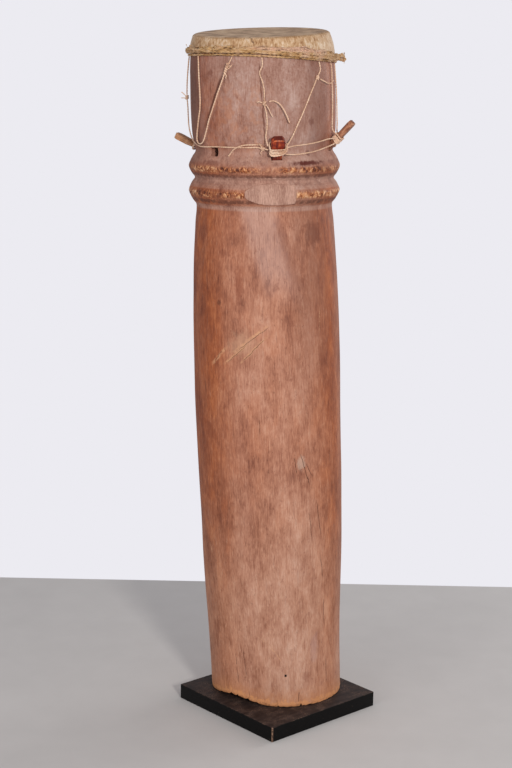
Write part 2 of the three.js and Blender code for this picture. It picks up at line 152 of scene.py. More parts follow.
# rounded flanks between the hollows and crests of the rings
def ringStops():
    stops = [log["rings"][0]]
    for (fromHeight, fromRadius), (toHeight, toRadius) in zip(log["rings"], log["rings"][1:]):
        for step in range(1, log["ringSteps"] + 1):
            share = step / log["ringSteps"]
            bend = sine(share * 90) if toRadius > fromRadius else 1 - cosine(share * 90)
            swell = mixed(share, bend, log["ringRound"])
            stops.append((mixed(fromHeight, toHeight, share), mixed(fromRadius, toRadius, swell)))
    return stops


logStops = log["body"][:-1] + ringStops() + log["neck"][1:]
neckTop = log["neck"][-1][0]
logTable = [readStops(logStops, height, True) for height in range(neckTop + 2)]


def headAt(azimuth, share=1):
    return log["rim"] - log["rimTilt"] * cosine(azimuth) * share


def mouthAt(azimuth, share=1):
    return headAt(azimuth, share) - hide["thick"] - touch


def depthRatio(height):
    return mixed(log["footDepth"], log["logDepth"], eased(height, 0, log["ovalReach"]))


def ringShift(azimuth, height):
    middle = log["rings"][2][0]
    weight = 1 - eased(abs(height - middle), 0, log["ringTiltReach"])
    return log["ringTilt"] * sine(azimuth) * weight


def facetLimit(azimuth, height):
    facet = log["facet"]
    turn = turnBetween(azimuth, facet["azimuth"])
    inside = abs(turn) < facet["spread"] and facet["low"] < height < facet["high"]
    power = mixed(facet["leftPower"], facet["rightPower"], eased(turn, -facet["blunt"], facet["blunt"]))
    return facet["reach"] / cosine(turn) ** power if inside else math.inf


def logRadius(azimuth, height):
    if height > neckTop:
        share = (height - neckTop) / (mouthAt(azimuth) - neckTop)
        return readStops(log["mouth"], share, True)
    level = min(max(height + ringShift(azimuth, height), 0), neckTop)
    whole = int(level)
    plain = mixed(logTable[whole], logTable[whole + 1], level - whole)
    return min(plain, facetLimit(azimuth, height))


# a point round the straight bore, and one round the outside, which sways about it
def boreAt(azimuth, height, radius):
    return Vector((radius * sine(azimuth), -radius * cosine(azimuth) * depthRatio(height), height))


def polar(azimuth, height, radius):
    return boreAt(azimuth, height, radius) + Vector((readStops(log["sway"], height, True), 0, 0))


def onLog(azimuth, height, proud=0):
    return polar(azimuth, height, logRadius(azimuth, height) + proud)


def hoopAt(azimuth):
    return hoop["height"] - hoop["tilt"] * sine(azimuth) + hoop["wave"] * cosine(2 * azimuth)


# shared making of pieces
def srgb(red, green, blue):
    def linear(value):
        share = value / 255
        return share / 12.92 if share <= 0.04045 else ((share + 0.055) / 1.055) ** 2.4
    return linear(red), linear(green), linear(blue), 1


def addPiece(name, mesh, material, nodes):
    piece = addObject(name, mesh)
    mesh.materials.clear()
    mesh.materials.append(material)
    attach(piece, "root")
    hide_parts(*nodes)
    return piece


# a bmesh in millimetres becomes a smooth mesh in the part's frame
def finishMesh(name, bm, sharpAngle, place=toPart):
    bmesh.ops.remove_doubles(bm, verts=bm.verts, dist=0.001)
    bmesh.ops.recalc_face_normals(bm, faces=bm.faces)
    bmesh.ops.transform(bm, matrix=place, verts=bm.verts)
    mesh = bpy.data.meshes.new(name)
    bm.to_mesh(mesh)
    bm.free()
    for polygon in mesh.polygons:
        polygon.use_smooth = True
    mesh.set_sharp_from_angle(angle=math.radians(sharpAngle))
    return mesh


# a wire in a material: operators on it add Math nodes
class Wire:
    def __init__(self, finish, socket):
        self.finish = finish
        self.socket = socket

    def math(self, operation, *values):
        sockets = dict(enumerate(values))
        return self.finish.node("ShaderNodeMath", dict(operation=operation), sockets)

    def __add__(self, other):
        return self.math("ADD", self, other)

    def __radd__(self, other):
        return self.math("ADD", other, self)

    def __sub__(self, other):
        return self.math("SUBTRACT", self, other)

    def __rsub__(self, other):
        return self.math("SUBTRACT", other, self)

    def __mul__(self, other):
        return self.math("MULTIPLY", self, other)

    def __rmul__(self, other):
        return self.math("MULTIPLY", other, self)

    def __truediv__(self, other):
        return self.math("DIVIDE", self, other)

    def __rtruediv__(self, other):
        return self.math("DIVIDE", other, self)

    def __abs__(self):
        return self.math("ABSOLUTE", self)

    def ease(self, low, high):
        settings = dict(interpolation_type="SMOOTHSTEP")
        return self.finish.node("ShaderNodeMapRange", settings, {0: self, 1: low, 2: high, 3: 0.0, 4: 1.0})

    def near(self, middle, reach):
        return abs(self - middle).ease(reach, reach * 0.35)

    def capped(self):
        return self.math("MINIMUM", self.math("MAXIMUM", self, 0.0), 1.0)


# one procedural material
class Finish:
    def __init__(self, name):
        self.material = bpy.data.materials.new(name)
        self.material.use_nodes = True
        self.tree = self.material.node_tree
        self.shader = self.tree.nodes["Principled BSDF"]

    def node(self, kind, settings=None, sockets=None, output=0):
        made = self.tree.nodes.new(kind)
        for key, value in (settings or {}).items():
            if key == "stops":
                self.setStops(made.color_ramp, value)
            else:
                setattr(made, key, value)
        for key, value in (sockets or {}).items():
            self.feed(made.inputs[key], value)
        return Wire(self, made.outputs[output])

    def feed(self, socket, value):
        if isinstance(value, Wire):
            self.tree.links.new(value.socket, socket)
        else:
            socket.default_value = value

    def setStops(self, ramp, stops):
        while len(ramp.elements) < len(stops):
            ramp.elements.new(1)
        for element, (position, colour) in zip(ramp.elements, stops):
            element.position = position
            element.color = colour

    # object coordinates turned into the drum's own axes, in millimetres
    def drumPlace(self):
        coordinates = self.node("ShaderNodeTexCoord", output="Object")
        back = toPart.inverted()
        turned = back.to_3x3().normalized().to_euler("XYZ")
        sockets = {0: coordinates, 1: back.translation, 2: turned, 3: (1000, 1000, 1000)}
        return self.node("ShaderNodeMapping", sockets=sockets)

    # object coordinates in millimetres
    def partPlace(self):
        coordinates = self.node("ShaderNodeTexCoord", output="Object")
        return self.stretch(coordinates, (1000, 1000, 1000))

    def stretch(self, place, scale):
        return self.node("ShaderNodeVectorMath", dict(operation="MULTIPLY"), {0: place, 1: scale})

    def split(self, place):
        first = self.node("ShaderNodeSeparateXYZ", sockets={0: place})
        return [Wire(self, output) for output in first.socket.node.outputs]

    def noise(self, place, scale, detail=3.0, rough=0.55, warp=0.0):
        sockets = {"Vector": self.stretch(place, scale), "Scale": 1.0, "Detail": detail,
                   "Roughness": rough, "Distortion": warp}
        return self.node("ShaderNodeTexNoise", sockets=sockets)

    # stops are (position, red, green, blue)
    def ramp(self, value, *stops):
        stops = [(position, srgb(*tint)) for position, *tint in stops]
        return self.node("ShaderNodeValToRGB", dict(stops=stops), {0: value})

    # a middle tone, swayed by (noise, weight) pairs
    def swayed(self, middle, *parts):
        tone = middle
        for part, weight in parts:
            tone = tone + (part - 0.5) * weight
        return tone

    def tint(self, colour, share, red, green, blue):
        return self.mix(share, colour, srgb(red, green, blue))

    def distance(self, first, second):
        square = first * first + second * second
        return square.math("SQRT", square)

    # turn round the log from its front, in radians
    def turn(self, x, y):
        return x.math("ARCTAN2", x, y * -1.0)

    def mix(self, factor, first, second):
        settings = dict(data_type="RGBA", blend_type="MIX")
        return self.node("ShaderNodeMix", settings, {0: factor, 6: first, 7: second}, 2)

    def bump(self, height, distance, strength=1.0):
        sockets = {"Height": height, "Distance": distance, "Strength": strength}
        return self.node("ShaderNodeBump", sockets=sockets)

    def paint(self, **sockets):
        for name, value in sockets.items():
            self.feed(self.shader.inputs[name.replace("_", " ")], value)
        return self.material


# Cords: twisted from two strands and laid on the wood along their routes
cordLook = dict(diameter=2.8, lay=0.5, pitch=10, step=0.9, sides=7, wander=0.12, stray=0.35, strayEnd=12,
                knotShare=0.85, knotPoints=14, stubShare=0.75, wrapPoints=48, wrapInset=1.6, wrapFlat=0.35)


def makeCordFinish():
    finish = Finish("plantCord")
    place = finish.drumPlace()
    broad = finish.noise(place, (0.05, 0.05, 0.05), 2.0)
    fibre = finish.noise(place, (1.5, 1.5, 0.5), 3.0)
    speck = finish.noise(place, (0.45, 0.45, 0.3), 2.0)
    colour = finish.ramp(fibre * 0.55 + broad * 0.45, (0.3, 178, 128, 96), (0.45, 222, 182, 152),
                         (0.6, 242, 210, 182), (0.8, 248, 226, 202))
    colour = finish.tint(colour, speck.ease(0.6, 0.74) * 0.5, 140, 92, 62)
    normal = finish.bump(fibre, 0.0004, 0.6)
    return finish.paint(Base_Color=colour, Roughness=0.78 + fibre * 0.15, Normal=normal)


cordFinish = makeCordFinish()


# centripetal curve through points, sampled at even steps
def smoothPath(points, step):
    points = [Vector(point) for point in points]
    ends = [2 * points[0] - points[1], *points, 2 * points[-1] - points[-2]]
    dense = []
    for first, second, third, fourth in zip(ends, ends[1:], ends[2:], ends[3:]):
        pairs = ((first, second), (second, third), (third, fourth))
        gaps = [max((end - start).length, 1e-4) ** 0.5 for start, end in pairs]
        lowSlope = ((second - first) / gaps[0] - (third - first) / (gaps[0] + gaps[1])
                    + (third - second) / gaps[1]) * gaps[1]
        highSlope = ((third - second) / gaps[1] - (fourth - second) / (gaps[1] + gaps[2])
                     + (fourth - third) / gaps[2]) * gaps[1]
        count = max(2, math.ceil((third - second).length / step))
        for index in range(count):
            lowWeight, lowBend, highWeight, highBend = curveWeights(index / count)
            dense.append(second * lowWeight + lowSlope * lowBend + third * highWeight + highSlope * highBend)
    return [*dense, points[-1]]


def cordSection(name, lobes, spread, sides):
    section = bpy.data.curves.new(name, "CURVE")
    section.dimensions = "2D"
    spline = section.splines.new("POLY")
    spline.use_cyclic_u = True
    count = lobes * sides
    spline.points.add(count - 1)
    for index, point in enumerate(spline.points):
        angle = 360 * index / count
        radius = 0.5 * mixed(1, abs(cosine(angle * lobes / 2)), spread)
        point.co = (radius * cosine(angle), radius * sine(angle), 0, 1)
    return addObject(name, section)


# strands: list of (points in drum millimetres, diameter, seed)
def twistedMesh(name, strands, section, pitch, wander):
    curve = bpy.data.curves.new(name, "CURVE")
    curve.dimensions = "3D"
    curve.bevel_mode = "OBJECT"
    curve.bevel_object = section
    curve.use_fill_caps = True
    for points, diameter, seed in strands:
        spline = curve.splines.new("POLY")
        spline.points.add(len(points) - 1)
        travelled = 0
        for index, point in enumerate(points):
            travelled += (point - points[index - 1]).length if index else 0
            lump = 1 + wander * noise.noise((travelled * 0.13, seed * 7.7, 1.3))
            target = spline.points[index]
            target.co = (*(toPart @ point), 1)
            target.radius = diameter * 0.001 * lump
            target.tilt = 2 * math.pi * travelled / pitch
    holder = addObject(name + "Line", curve)
    shown = holder.evaluated_get(bpy.context.evaluated_depsgraph_get())
    mesh = bpy.data.meshes.new_from_object(shown)
    mesh.name = name
    bpy.data.objects.remove(holder)
    for polygon in mesh.polygons:
        polygon.use_smooth = True
    return mesh


plySection = cordSection("plySection", 2, 0.42, cordLook["sides"])

# pegs: rise is the slope above level, reach the length outside the wall
pegSet = dict(
    tail=18, tailWidth=14, nip=6, edge=0.9, wrapSlant=0.3, slantSpread=0.08, holeTail=34,
    whittleScale=0.07, whittleAcross=0.03, whittleOver=0.04, neckLow=14, neckHigh=19, sharp=35,
    pegs=dict(
        front=dict(azimuth=9.7, height=1083.5, rise=52, reach=43, width=28, thickness=15,
                   wrapFrom=11.5, wrapLength=16, turns=4, loose=1.3),
        right=dict(azimuth=72, height=1096, rise=45, reach=62, width=24, thickness=11,
                   wrapFrom=11.5, wrapLength=16, turns=6, loose=2.6),
        back_right=dict(azimuth=132, height=1088, rise=45, reach=55, width=26, thickness=12,
                        wrapFrom=11.5, wrapLength=16, turns=4, loose=1.3),
        back=dict(azimuth=192, height=1088, rise=42, reach=50, width=28, thickness=13,
                  wrapFrom=11.5, wrapLength=16, turns=4, loose=1.3),
        left=dict(azimuth=252, height=1094.5, rise=27, reach=53, width=24, thickness=11.5,
                  wrapFrom=5, wrapLength=6, turns=2, loose=0.6, neck=0.66),
    ),
)
emptyHole = dict(azimuth=-44, rise=8, height=1092, width=18, high=17, length=70, rough=0.7, roughScale=0.15)


# a peg's axes: X across it, Z out along it, from the middle of its hole
def pegPlace(peg):
    azimuth, rise = peg["azimuth"], peg["rise"]
    along = Vector((sine(azimuth) * cosine(rise), -cosine(azimuth) * cosine(rise), sine(rise)))
    across = Vector((cosine(azimuth), sine(azimuth), 0))
    axes = Matrix((across, along.cross(across), along)).transposed().to_4x4()
    return Matrix.Translation(onLog(azimuth, peg["height"])) @ axes


def pegWidth(peg, along):
    share = (along + pegSet["tail"]) / (peg["reach"] - 2 * pegSet["nip"] + pegSet["tail"])
    return mixed(pegSet["tailWidth"], peg["width"], min(share, 1))


# beside the turns of cord round a peg: side is -1 for left and 1 for right, share the way along them,
# drop how far below the middle
def besideWrap(name, side, share, drop=0):
    peg = pegSet["pegs"][name]
    shear = pegSet["wrapSlant"] * math.tan(math.radians(peg["rise"]))
    along = peg["wrapFrom"] + share * peg["wrapLength"] - drop * shear
    off = pegWidth(peg, along) / 2 + 1.5 * cordLook["diameter"] + 3 * touch
    return pegPlace(peg) @ Vector((side * off, -drop, along))


def onWood(stops):
    middle = cordLook["lay"] + cordLook["diameter"] / 2
    return [onLog(stop[0], stop[1], middle + (stop[2] if len(stop) > 2 else 0)) for stop in stops]


def underHoop(azimuth):
    return azimuth, hoopAt(azimuth) - hoop["tall"] / 2 - hoop["cord"] - 3 * touch, touch


# the far side's runs repeat one pattern
def farLacing(peg, side, top, upper, lower, low):
    stops = [underHoop(top), (upper, 1200), (lower, 1140, 1), (low, 1118, 4)]
    return onWood(stops) + [besideWrap(peg, side, 0.95)]


def farGirth(fromPeg, toPeg, azimuth):
    stops = [(azimuth - 16, 1093, 2), (azimuth, 1093), (azimuth + 16, 1093, 2)]
    return [besideWrap(fromPeg, 1, 0.05)] + onWood(stops) + [besideWrap(toPeg, -1, 0.05)]


# routes of the cords: azimuth, height and how far off the wood
routes = dict(
    lacing_front_left=onWood([underHoop(0), (0, 1247), (-2, 1235), (0, 1218), (1, 1204), (1, 1179),
                              (2.5, 1159), (2.5, 1136), (1.5, 1120, 3)]) + [besideWrap("front", -1, 0.85)],
    lacing_front_right=onWood([underHoop(49), (50, 1237), (46, 1223), (35, 1178), (28.5, 1148),
                               (22, 1120, 3)]) + [besideWrap("front", 1, 0.95)],
    lacing_right_front=onWood([underHoop(67), (68, 1236), (68, 1209), (68, 1181), (67, 1146),
                               (65, 1126, 4)]) + [besideWrap("right", -1, 0.95)],
    lacing_slack_loop=onWood([underHoop(-59), (-57, 1238, 1), (-55, 1188, 2), (-56, 1169, 2),
                              (-59, 1147, 2), (-63, 1123, 1.5), (-64.5, 1114, 1.5), (-63, 1109, 2),
                              (-59.5, 1106.5, 3), (-55, 1109, 3.5), (-51, 1117, 4.5), (-44, 1149, 5.5),
                              (-37, 1186, 5.5), (-32, 1215, 4.5), (-28, 1241, 2), underHoop(-23)]),
    lacing_left_girth=onWood([underHoop(-84), (-87, 1240, 2), (-89, 1215, 3.5), (-90, 1191, 4),
                              (-90, 1163, 3), (-86, 1135, 2.5), (-78, 1114, 1), (-69, 1105),
                              (-61, 1101.5), (-50, 1101.5), (-40, 1102), (-25, 1101), (-10, 1100.5),
                              (-3.5, 1100, 0.5)]) + [besideWrap("front", -1, 0.3)],
    girth_right_upper=[besideWrap("front", 1, 0.5)]
    + onWood([(23, 1101, 3), (30, 1102, 0.5), (41, 1104), (52, 1107), (60, 1110, 4)])
    + [besideWrap("right", -1, 0.5)],
    girth_right_lower=[besideWrap("front", 1, 0.05, 7)]
    + onWood([(24, 1085.5, 3), (34, 1086.5, 1), (46, 1089), (57, 1094, 2)])
    + [besideWrap("right", -1, 0.05, 5)],
    lacing_right_back=farLacing("right", 1, 97, 92, 84, 80.5),
    lacing_back_right_near=farLacing("back_right", -1, 112, 117, 123, 125),
    lacing_back_right_far=farLacing("back_right", 1, 155, 149, 142, 140),
    lacing_back_near=farLacing("back", -1, 171, 177, 183, 185),
    lacing_back_far=farLacing("back", 1, 214, 208, 201, 199),
    lacing_left_back=farLacing("left", -1, 231, 236, 243, 245),
    girth_back_right=farGirth("right", "back_right", 102),
    girth_back=farGirth("back_right", "back", 162),
    girth_back_left=farGirth("back", "left", 222),
)
tailRoutes = dict(
    tail_front=[(4.5, 1183, 1), (7.5, 1184, 3), (11, 1180, 6), (14, 1171, 7), (16.5, 1159, 7), (19, 1144, 6)],
    tail_right=[(49, 1220.5, 1), (53, 1216, 3), (58, 1212, 4), (62, 1213, 5), (64.5, 1217, 6)],
    girth_end=[(-1.5, 1105, 0.5), (-9, 1105.5, 0.5), (-15, 1105, 1), (-20, 1102, 4), (-24, 1097, 4),
               (-27, 1090, 2.5), (-28.5, 1085, 2)],
)
# knots: place on the wood, direction of the run, turns round it and how far they reach along it
knots = dict(
    lacing_front_left=[dict(at=(1, 1180, 1.4), run=(0.08, 1), turns=3, length=7, radius=2.5)],
    lacing_front_right=[dict(at=(46, 1223, 1.2), run=(0.45, 1), turns=3, length=7, radius=2.4)],
    lacing_slack_loop=[dict(at=(-27.5, 1244, 2.2), run=(0.4, 1), turns=5, length=20, radius=2.1)],
    lacing_left_girth=[dict(at=(-90, 1191, 4), run=(0, 1), turns=3, length=7, radius=2.4),
                       dict(at=(-1, 1098.5, 2.4), run=(1, -0.5), turns=3, length=7, radius=2.4)],
)
# short cord ends that stick out of the knots
stubs = dict(
    lacing_front_left=[[(2, 1178, 2), (4, 1170, 3.5), (5.5, 1161, 3.5), (7, 1155, 3)],
                       [(-0.5, 1181, 2), (-3, 1183, 3), (-4.5, 1182, 3.5)]],
    lacing_left_girth=[[(-90, 1192, 5), (-92, 1197, 10), (-93, 1201, 15)],
                       [(-91, 1189, 5), (-93, 1190, 11), (-95, 1190, 16)],
                       [(-1.5, 1101, 3), (-3, 1105, 5), (-3.5, 1108, 5.5)],
                       [(-1, 1096, 3), (-2.5, 1091, 4), (-2, 1087, 3)]],
    lacing_slack_loop=[[(-28, 1240, 2), (-25, 1244, 4), (-22.5, 1250, 4)],
                       [(-27, 1246, 3), (-24, 1248, 4.5), (-23, 1246, 5)],
                       [(-29, 1236, 2), (-27.5, 1231, 3.5), (-28, 1226, 3)]],
)


def knotPath(at, run, turns, length, radius):
    azimuth, height, off = at
    middle = onLog(azimuth, height, cordLook["lay"] + cordLook["diameter"] / 2 + off)
    outward = Vector((sine(azimuth), -cosine(azimuth), 0))
    across = Vector((cosine(azimuth), sine(azimuth), 0))
    along = (across * run[0] + Vector((0, 0, run[1]))).normalized()
    side = along.cross(outward)
    count = turns * cordLook["knotPoints"]
    points = []
    for index in range(count + 1):
        angle = 360 * turns * index / count
        spoke = side * cosine(angle) + outward * sine(angle)
        points.append(middle + along * length * (index / count - 0.5) + radius * spoke)
    return points


# small wanderings along a cord, none at its ends
def strayed(points, seed):
    moved = []
    for index, point in enumerate(points):
        ends = min(index, len(points) - 1 - index, cordLook["strayEnd"]) / cordLook["strayEnd"]
        shift = noise.noise_vector((index * 0.06, seed * 3.1, 0.5)) * cordLook["stray"] * ends
        moved.append(point + shift)
    return moved


def makeLacing():
    step, diameter = cordLook["step"], cordLook["diameter"]
    for seed, (name, points) in enumerate(routes.items()):
        strands = [(strayed(smoothPath(points, step), seed), diameter, seed)]
        for knot in knots.get(name, []):
            strands.append((knotPath(**knot), diameter * cordLook["knotShare"], seed + 40))
        for stub in stubs.get(name, []):
            strands.append((smoothPath(onWood(stub), step), diameter * cordLook["stubShare"], seed + 60))
        mesh = twistedMesh(name + "_cord", strands, plySection, cordLook["pitch"], cordLook["wander"])
        addPiece(name + "_cord", mesh, cordFinish, [name])


def makeTails():
    for seed, (name, stops) in enumerate(tailRoutes.items()):
        path = smoothPath(onWood(stops), cordLook["step"])
        length = sum((end - start).length for start, end in zip(path, path[1:])) / 1000
        mesh = twistedMesh(name + "_cord", [(path, cordLook["diameter"], seed + 90)], plySection,
                           cordLook["pitch"], cordLook["wander"] / 2)
        piece = addPiece(name + "_cord", mesh, cordFinish, [name])
        places = [tuple(toPart @ point) for point in path]
        print(name, "is", round(length * 1000), "mm long")


# a sine or cosine swollen, so that turns of cord lie flat on a peg's sides
def swollen(value):
    return math.copysign(abs(value) ** cordLook["wrapFlat"], value)


# turns of cord round a peg, slanted a little towards the wall
def wrapPath(peg, seed):
    reach = touch + cordLook["diameter"] / 2
    count = peg["turns"] * cordLook["wrapPoints"]
    slope = math.tan(math.radians(peg["rise"]))
    inset = cordLook["wrapInset"]
    points = []
    for index in range(count + 1):
        share = index / count
        angle = 360 * peg["turns"] * share
        over = swollen(sine(angle)) * (peg["thickness"] / 2 + reach)
        crossing = peg["loose"] * noise.noise((share * 9, seed * 5.1, 2))
        slant = pegSet["wrapSlant"] + mixed(1, -1, share) * pegSet["slantSpread"]
        along = peg["wrapFrom"] + mixed(inset, peg["wrapLength"] - inset, share)
        along = along + crossing + over * slant * slope
        lift = 0.5 * peg["loose"] * max(noise.noise((share * 13, seed * 2.3, 8)), 0)
        across = swollen(cosine(angle)) * (pegWidth(peg, along) / 2 + reach + lift)
        points.append(Vector((across, over + math.copysign(lift, over), along)))
    return points


# the front peg's right lacing crosses its turns of cord, in the peg's own axes
crossedTurn = [(17, 3, 28), (17.3, -5, 23), (15, -10.6, 19), (9, -11.8, 14.5), (0, -11.6, 11.5),
               (-8, -11.4, 10.5), (-13, -9.5, 11), (-14.5, -3, 13)]


def makeWraps():
    step, diameter = cordLook["step"], cordLook["diameter"]
    for seed, (name, peg) in enumerate(pegSet["pegs"].items()):
        paths = [wrapPath(peg, seed)] + ([crossedTurn] if name == "front" else [])
        place = pegPlace(peg)
        laid = [[place @ point for point in smoothPath(path, step)] for path in paths]
        strands = [(points, diameter, seed + 120) for points in laid]
        mesh = twistedMesh(f"wrap_{name}_cord", strands, plySection, cordLook["pitch"], cordLook["wander"])
        addPiece(f"wrap_{name}_cord", mesh, cordFinish, [f"wrap_{name}"])


makeLacing()
makeTails()
makeWraps()
print("lacing laid")

# Log: forms that the carver and wear left on it
# low and high are the heights between which the channel starts and ends
logForms = dict(
    slow=1.3, tool=0.8, grain=0.35, sink=0.9, proudMost=0.2, neckShare=0.35, neckSpan=(985, 1090),
    crestChip=0.66, crestSink=0.4, crestReach=9, crestFade=5,
    channel=dict(azimuth=6.5, wander=2.5, width=9, bed=-1.5, lip=(-0.6, 1.6), depth=1.7,
                 low=(819, 879), high=(958, 978)),
    chip=dict(azimuth=-40, spread=24, depth=13),
    notches=[(-58, 1.2, 2.2), (-44, 1.4, 2.4), (-37, 0.9, 2.8), (-26, 1.3, 3.2), (-18, 0.8, 1.8),
             (1.5, 0.7, 2.2), (22, 0.7, 6), (31, 1.2, 1.2), (54, 1.2, 1)],
    footRough=1.1, meanRadius=140, facetShare=0.3, boreRough=1.5,
)


# how far the wood stands out from, or is worn back behind, the plain form
def woodRelief(azimuth, height):
    forms = logForms
    x, y = forms["meanRadius"] * sine(azimuth), forms["meanRadius"] * cosine(azimuth)
    slow = noise.noise((x * 0.007, y * 0.007, height * 0.004)) * forms["slow"]
    tool = noise.noise((x * 0.024 + 9, y * 0.024, height * 0.011)) * forms["tool"]
    grain = noise.noise((x * 0.12, y * 0.12 + 5, height * 0.006)) * forms["grain"]
    share = mixed(1, forms["neckShare"], eased(height, *forms["neckSpan"]))
    if logRadius(azimuth, height) >= facetLimit(azimuth, height):
        share *= forms["facetShare"]
    relief = (slow + tool + grain - forms["sink"]) * share
    level = height + ringShift(azimuth, height)
    for crest in (log["rings"][1][0], log["rings"][3][0]):
        closeness = eased(forms["crestReach"] - abs(level - crest), 0, forms["crestFade"])
        if closeness > 0:
            chip = noise.noise((x * 0.17, y * 0.17, height * 0.22))
            chip += 0.6 * noise.noise((x * 0.4, y * 0.4, height * 0.4))
            relief += closeness * forms["crestChip"] * (chip - forms["crestSink"])
    channel = forms["channel"]
    wander = channel["wander"] * noise.noise((height * 0.012, 3, 7))
    turn = turnBetween(azimuth, channel["azimuth"] + wander)
    window = eased(height, *channel["low"]) * (1 - eased(height, *channel["high"]))
    side = eased(turn, -channel["width"], channel["bed"]) * (1 - eased(turn, *channel["lip"]))
    relief -= channel["depth"] * window * side
    return min(relief, forms["proudMost"])


# the foot is cut level though the log leans, and its edge is broken
def footLine(azimuth, radius, ragged=True):
    chip = logForms["chip"]
    rise = chip["depth"] * math.exp(-((turnBetween(azimuth, chip["azimuth"]) / chip["spread"]) ** 2))
    if ragged:
        rough = noise.noise((sine(azimuth) * 14, cosine(azimuth) * 14, 4))
        rough += noise.noise((sine(azimuth) * 33, cosine(azimuth) * 33, 8))
        rise += logForms["footRough"] * max(rough, 0)
        for middle, width, depth in logForms["notches"]:
            rise += depth * math.exp(-((turnBetween(azimuth, middle) / width) ** 2))
    return rise - radius * sine(azimuth) * math.tan(math.radians(drum["lean"]))


def spacedRows(low, high, gap):
    count = round((high - low) / gap)
    return [mixed(low, high, index / count) for index in range(count)]


# the profile's rows, from the foot up the outside, over the lip and down the bore
def logRows():
    ringLow = log["rings"][0][0] - log["ringMargin"][0]
    ringHigh = log["rings"][-1][0] + log["ringMargin"][1]
    footRadius = log["body"][0][1]
    rows = [("foot", height, footRadius + inset) for height, inset in log["footEdge"]]
    heights = spacedRows(log["firstRow"], ringLow, log["footRow"])
    heights += spacedRows(ringLow, ringHigh, log["ringRow"]) + spacedRows(ringHigh, neckTop, log["neckRow"])
    rows += [("wall", height, 0) for height in heights]
    rows += [("mouth", index / log["mouthRows"], 0) for index in range(log["mouthRows"])]
    rim, boreTop, boreFoot = log["rimRadius"], log["bore"][-1][1], log["bore"][0][1]
    lip = [(rim - 0.6, 0.8), (rim - 2.4, 0), (mixed(rim, boreTop, 0.5), 0), (boreTop + 2, 0), (boreTop, 2)]
    rows += [("lip", drop, radius) for radius, drop in lip]
    rows += [("bore", height, readStops(log["bore"], height)) for height in log["boreRows"]]
    rows += [("sole", height, radius) for height, radius in ((3, boreFoot), (0, boreFoot + 3), (0, 118))]
    return rows


# value is a height, a share of the mouth or a drop below the rim
def placeLog(kind, value, radius, azimuth):
    if kind == "foot":
        height = value + footLine(azimuth, radius)
        return polar(azimuth, height, radius + 0.5 * woodRelief(azimuth, height))
    if kind == "wall":
        fade = 1 - eased(value, log["footWear"], log["footFade"])
        foot = footLine(azimuth, log["body"][0][1], value < log["raggedTo"])
        height = value + foot * fade - ringShift(azimuth, value)
        return polar(azimuth, height, logRadius(azimuth, height) + woodRelief(azimuth, height))
    if kind == "mouth":
        height = mixed(neckTop, mouthAt(azimuth), value)
        return polar(azimuth, height, readStops(log["mouth"], value, True) - log["mouthInset"])
    if kind == "lip":
        return polar(azimuth, mouthAt(azimuth, radius / log["rimRadius"]) - value, radius)
    if kind == "bore":
        rough = noise.noise((sine(azimuth) * 3, cosine(azimuth) * 3, value * 0.008))
        return boreAt(azimuth, value, radius + rough * logForms["boreRough"])
    return boreAt(azimuth, value + footLine(azimuth, radius), radius)


# a profile of rows spun round the log's axis, then set in place row by row
def spunRows(rows, segments, place, closed=True):
    bm = bmesh.new()
    rowLayer = bm.verts.layers.int.new("row")
    profile = []
    for index in range(len(rows)):
        vert = bm.verts.new((0, -100 - index, index))
        vert[rowLayer] = index
        profile.append(vert)
    edges = [bm.edges.new(pair) for pair in zip(profile, profile[1:])]
    if closed:
        edges.append(bm.edges.new((profile[-1], profile[0])))
    bmesh.ops.spin(bm, geom=profile + edges, cent=(0, 0, 0), axis=(0, 0, 1), angle=2 * math.pi,
                   steps=segments, use_merge=True)
    for vert in bm.verts:
        azimuth = math.degrees(math.atan2(vert.co.x, -vert.co.y))
        vert.co = place(rows[vert[rowLayer]], azimuth)
    return bm


def chamferEdges(bm, edges, offset, segments):
    bmesh.ops.bevel(bm, geom=edges, offset=offset, affect="EDGES", segments=segments, profile=0.5,
                    material=-1)


# a slab that narrows to its tail, for a peg or the hole that it sits in
def slabMesh(peg, tail, grow, edge):
    bm = bmesh.new()
    bmesh.ops.create_cube(bm, size=1)
    for vert in bm.verts:
        outer = vert.co.z > 0
        half = (peg["width"] if outer else pegSet["tailWidth"]) / 2 + grow
        thick = peg["thickness"] / 2 + grow
        end = peg["reach"] if outer else -tail
        vert.co = (math.copysign(half, vert.co.x), math.copysign(thick, vert.co.y), end)
    ends = [side for side in bm.edges if all(vert.co.z > 0 for vert in side.verts)]
    corners = [side for side in ends if abs(side.verts[0].co.x - side.verts[1].co.x) < 1e-6]
    chamferEdges(bm, corners, pegSet["nip"], 1)
    if edge:
        chamferEdges(bm, bm.edges[:], edge, 1)
    return bm


def cutterPiece(bm, place):
    return addObject("cutter", finishMesh("cutter", bm, 30, toPart @ place))


def holeCutters():
    cutters = []
    for peg in pegSet["pegs"].values():
        cutters.append(cutterPiece(slabMesh(peg, pegSet["holeTail"], touch, 0), pegPlace(peg)))
    bm = bmesh.new()
    bmesh.ops.create_cube(bm, size=1)
    bmesh.ops.scale(bm, vec=(emptyHole["width"], emptyHole["high"], emptyHole["length"]), verts=bm.verts)
    bmesh.ops.subdivide_edges(bm, edges=bm.edges[:], cuts=6, use_grid_fill=True)
    for vert in bm.verts:
        vert.co += noise.noise_vector(vert.co * emptyHole["roughScale"]) * emptyHole["rough"]
    cutters.append(cutterPiece(bm, pegPlace(emptyHole)))
    return cutters


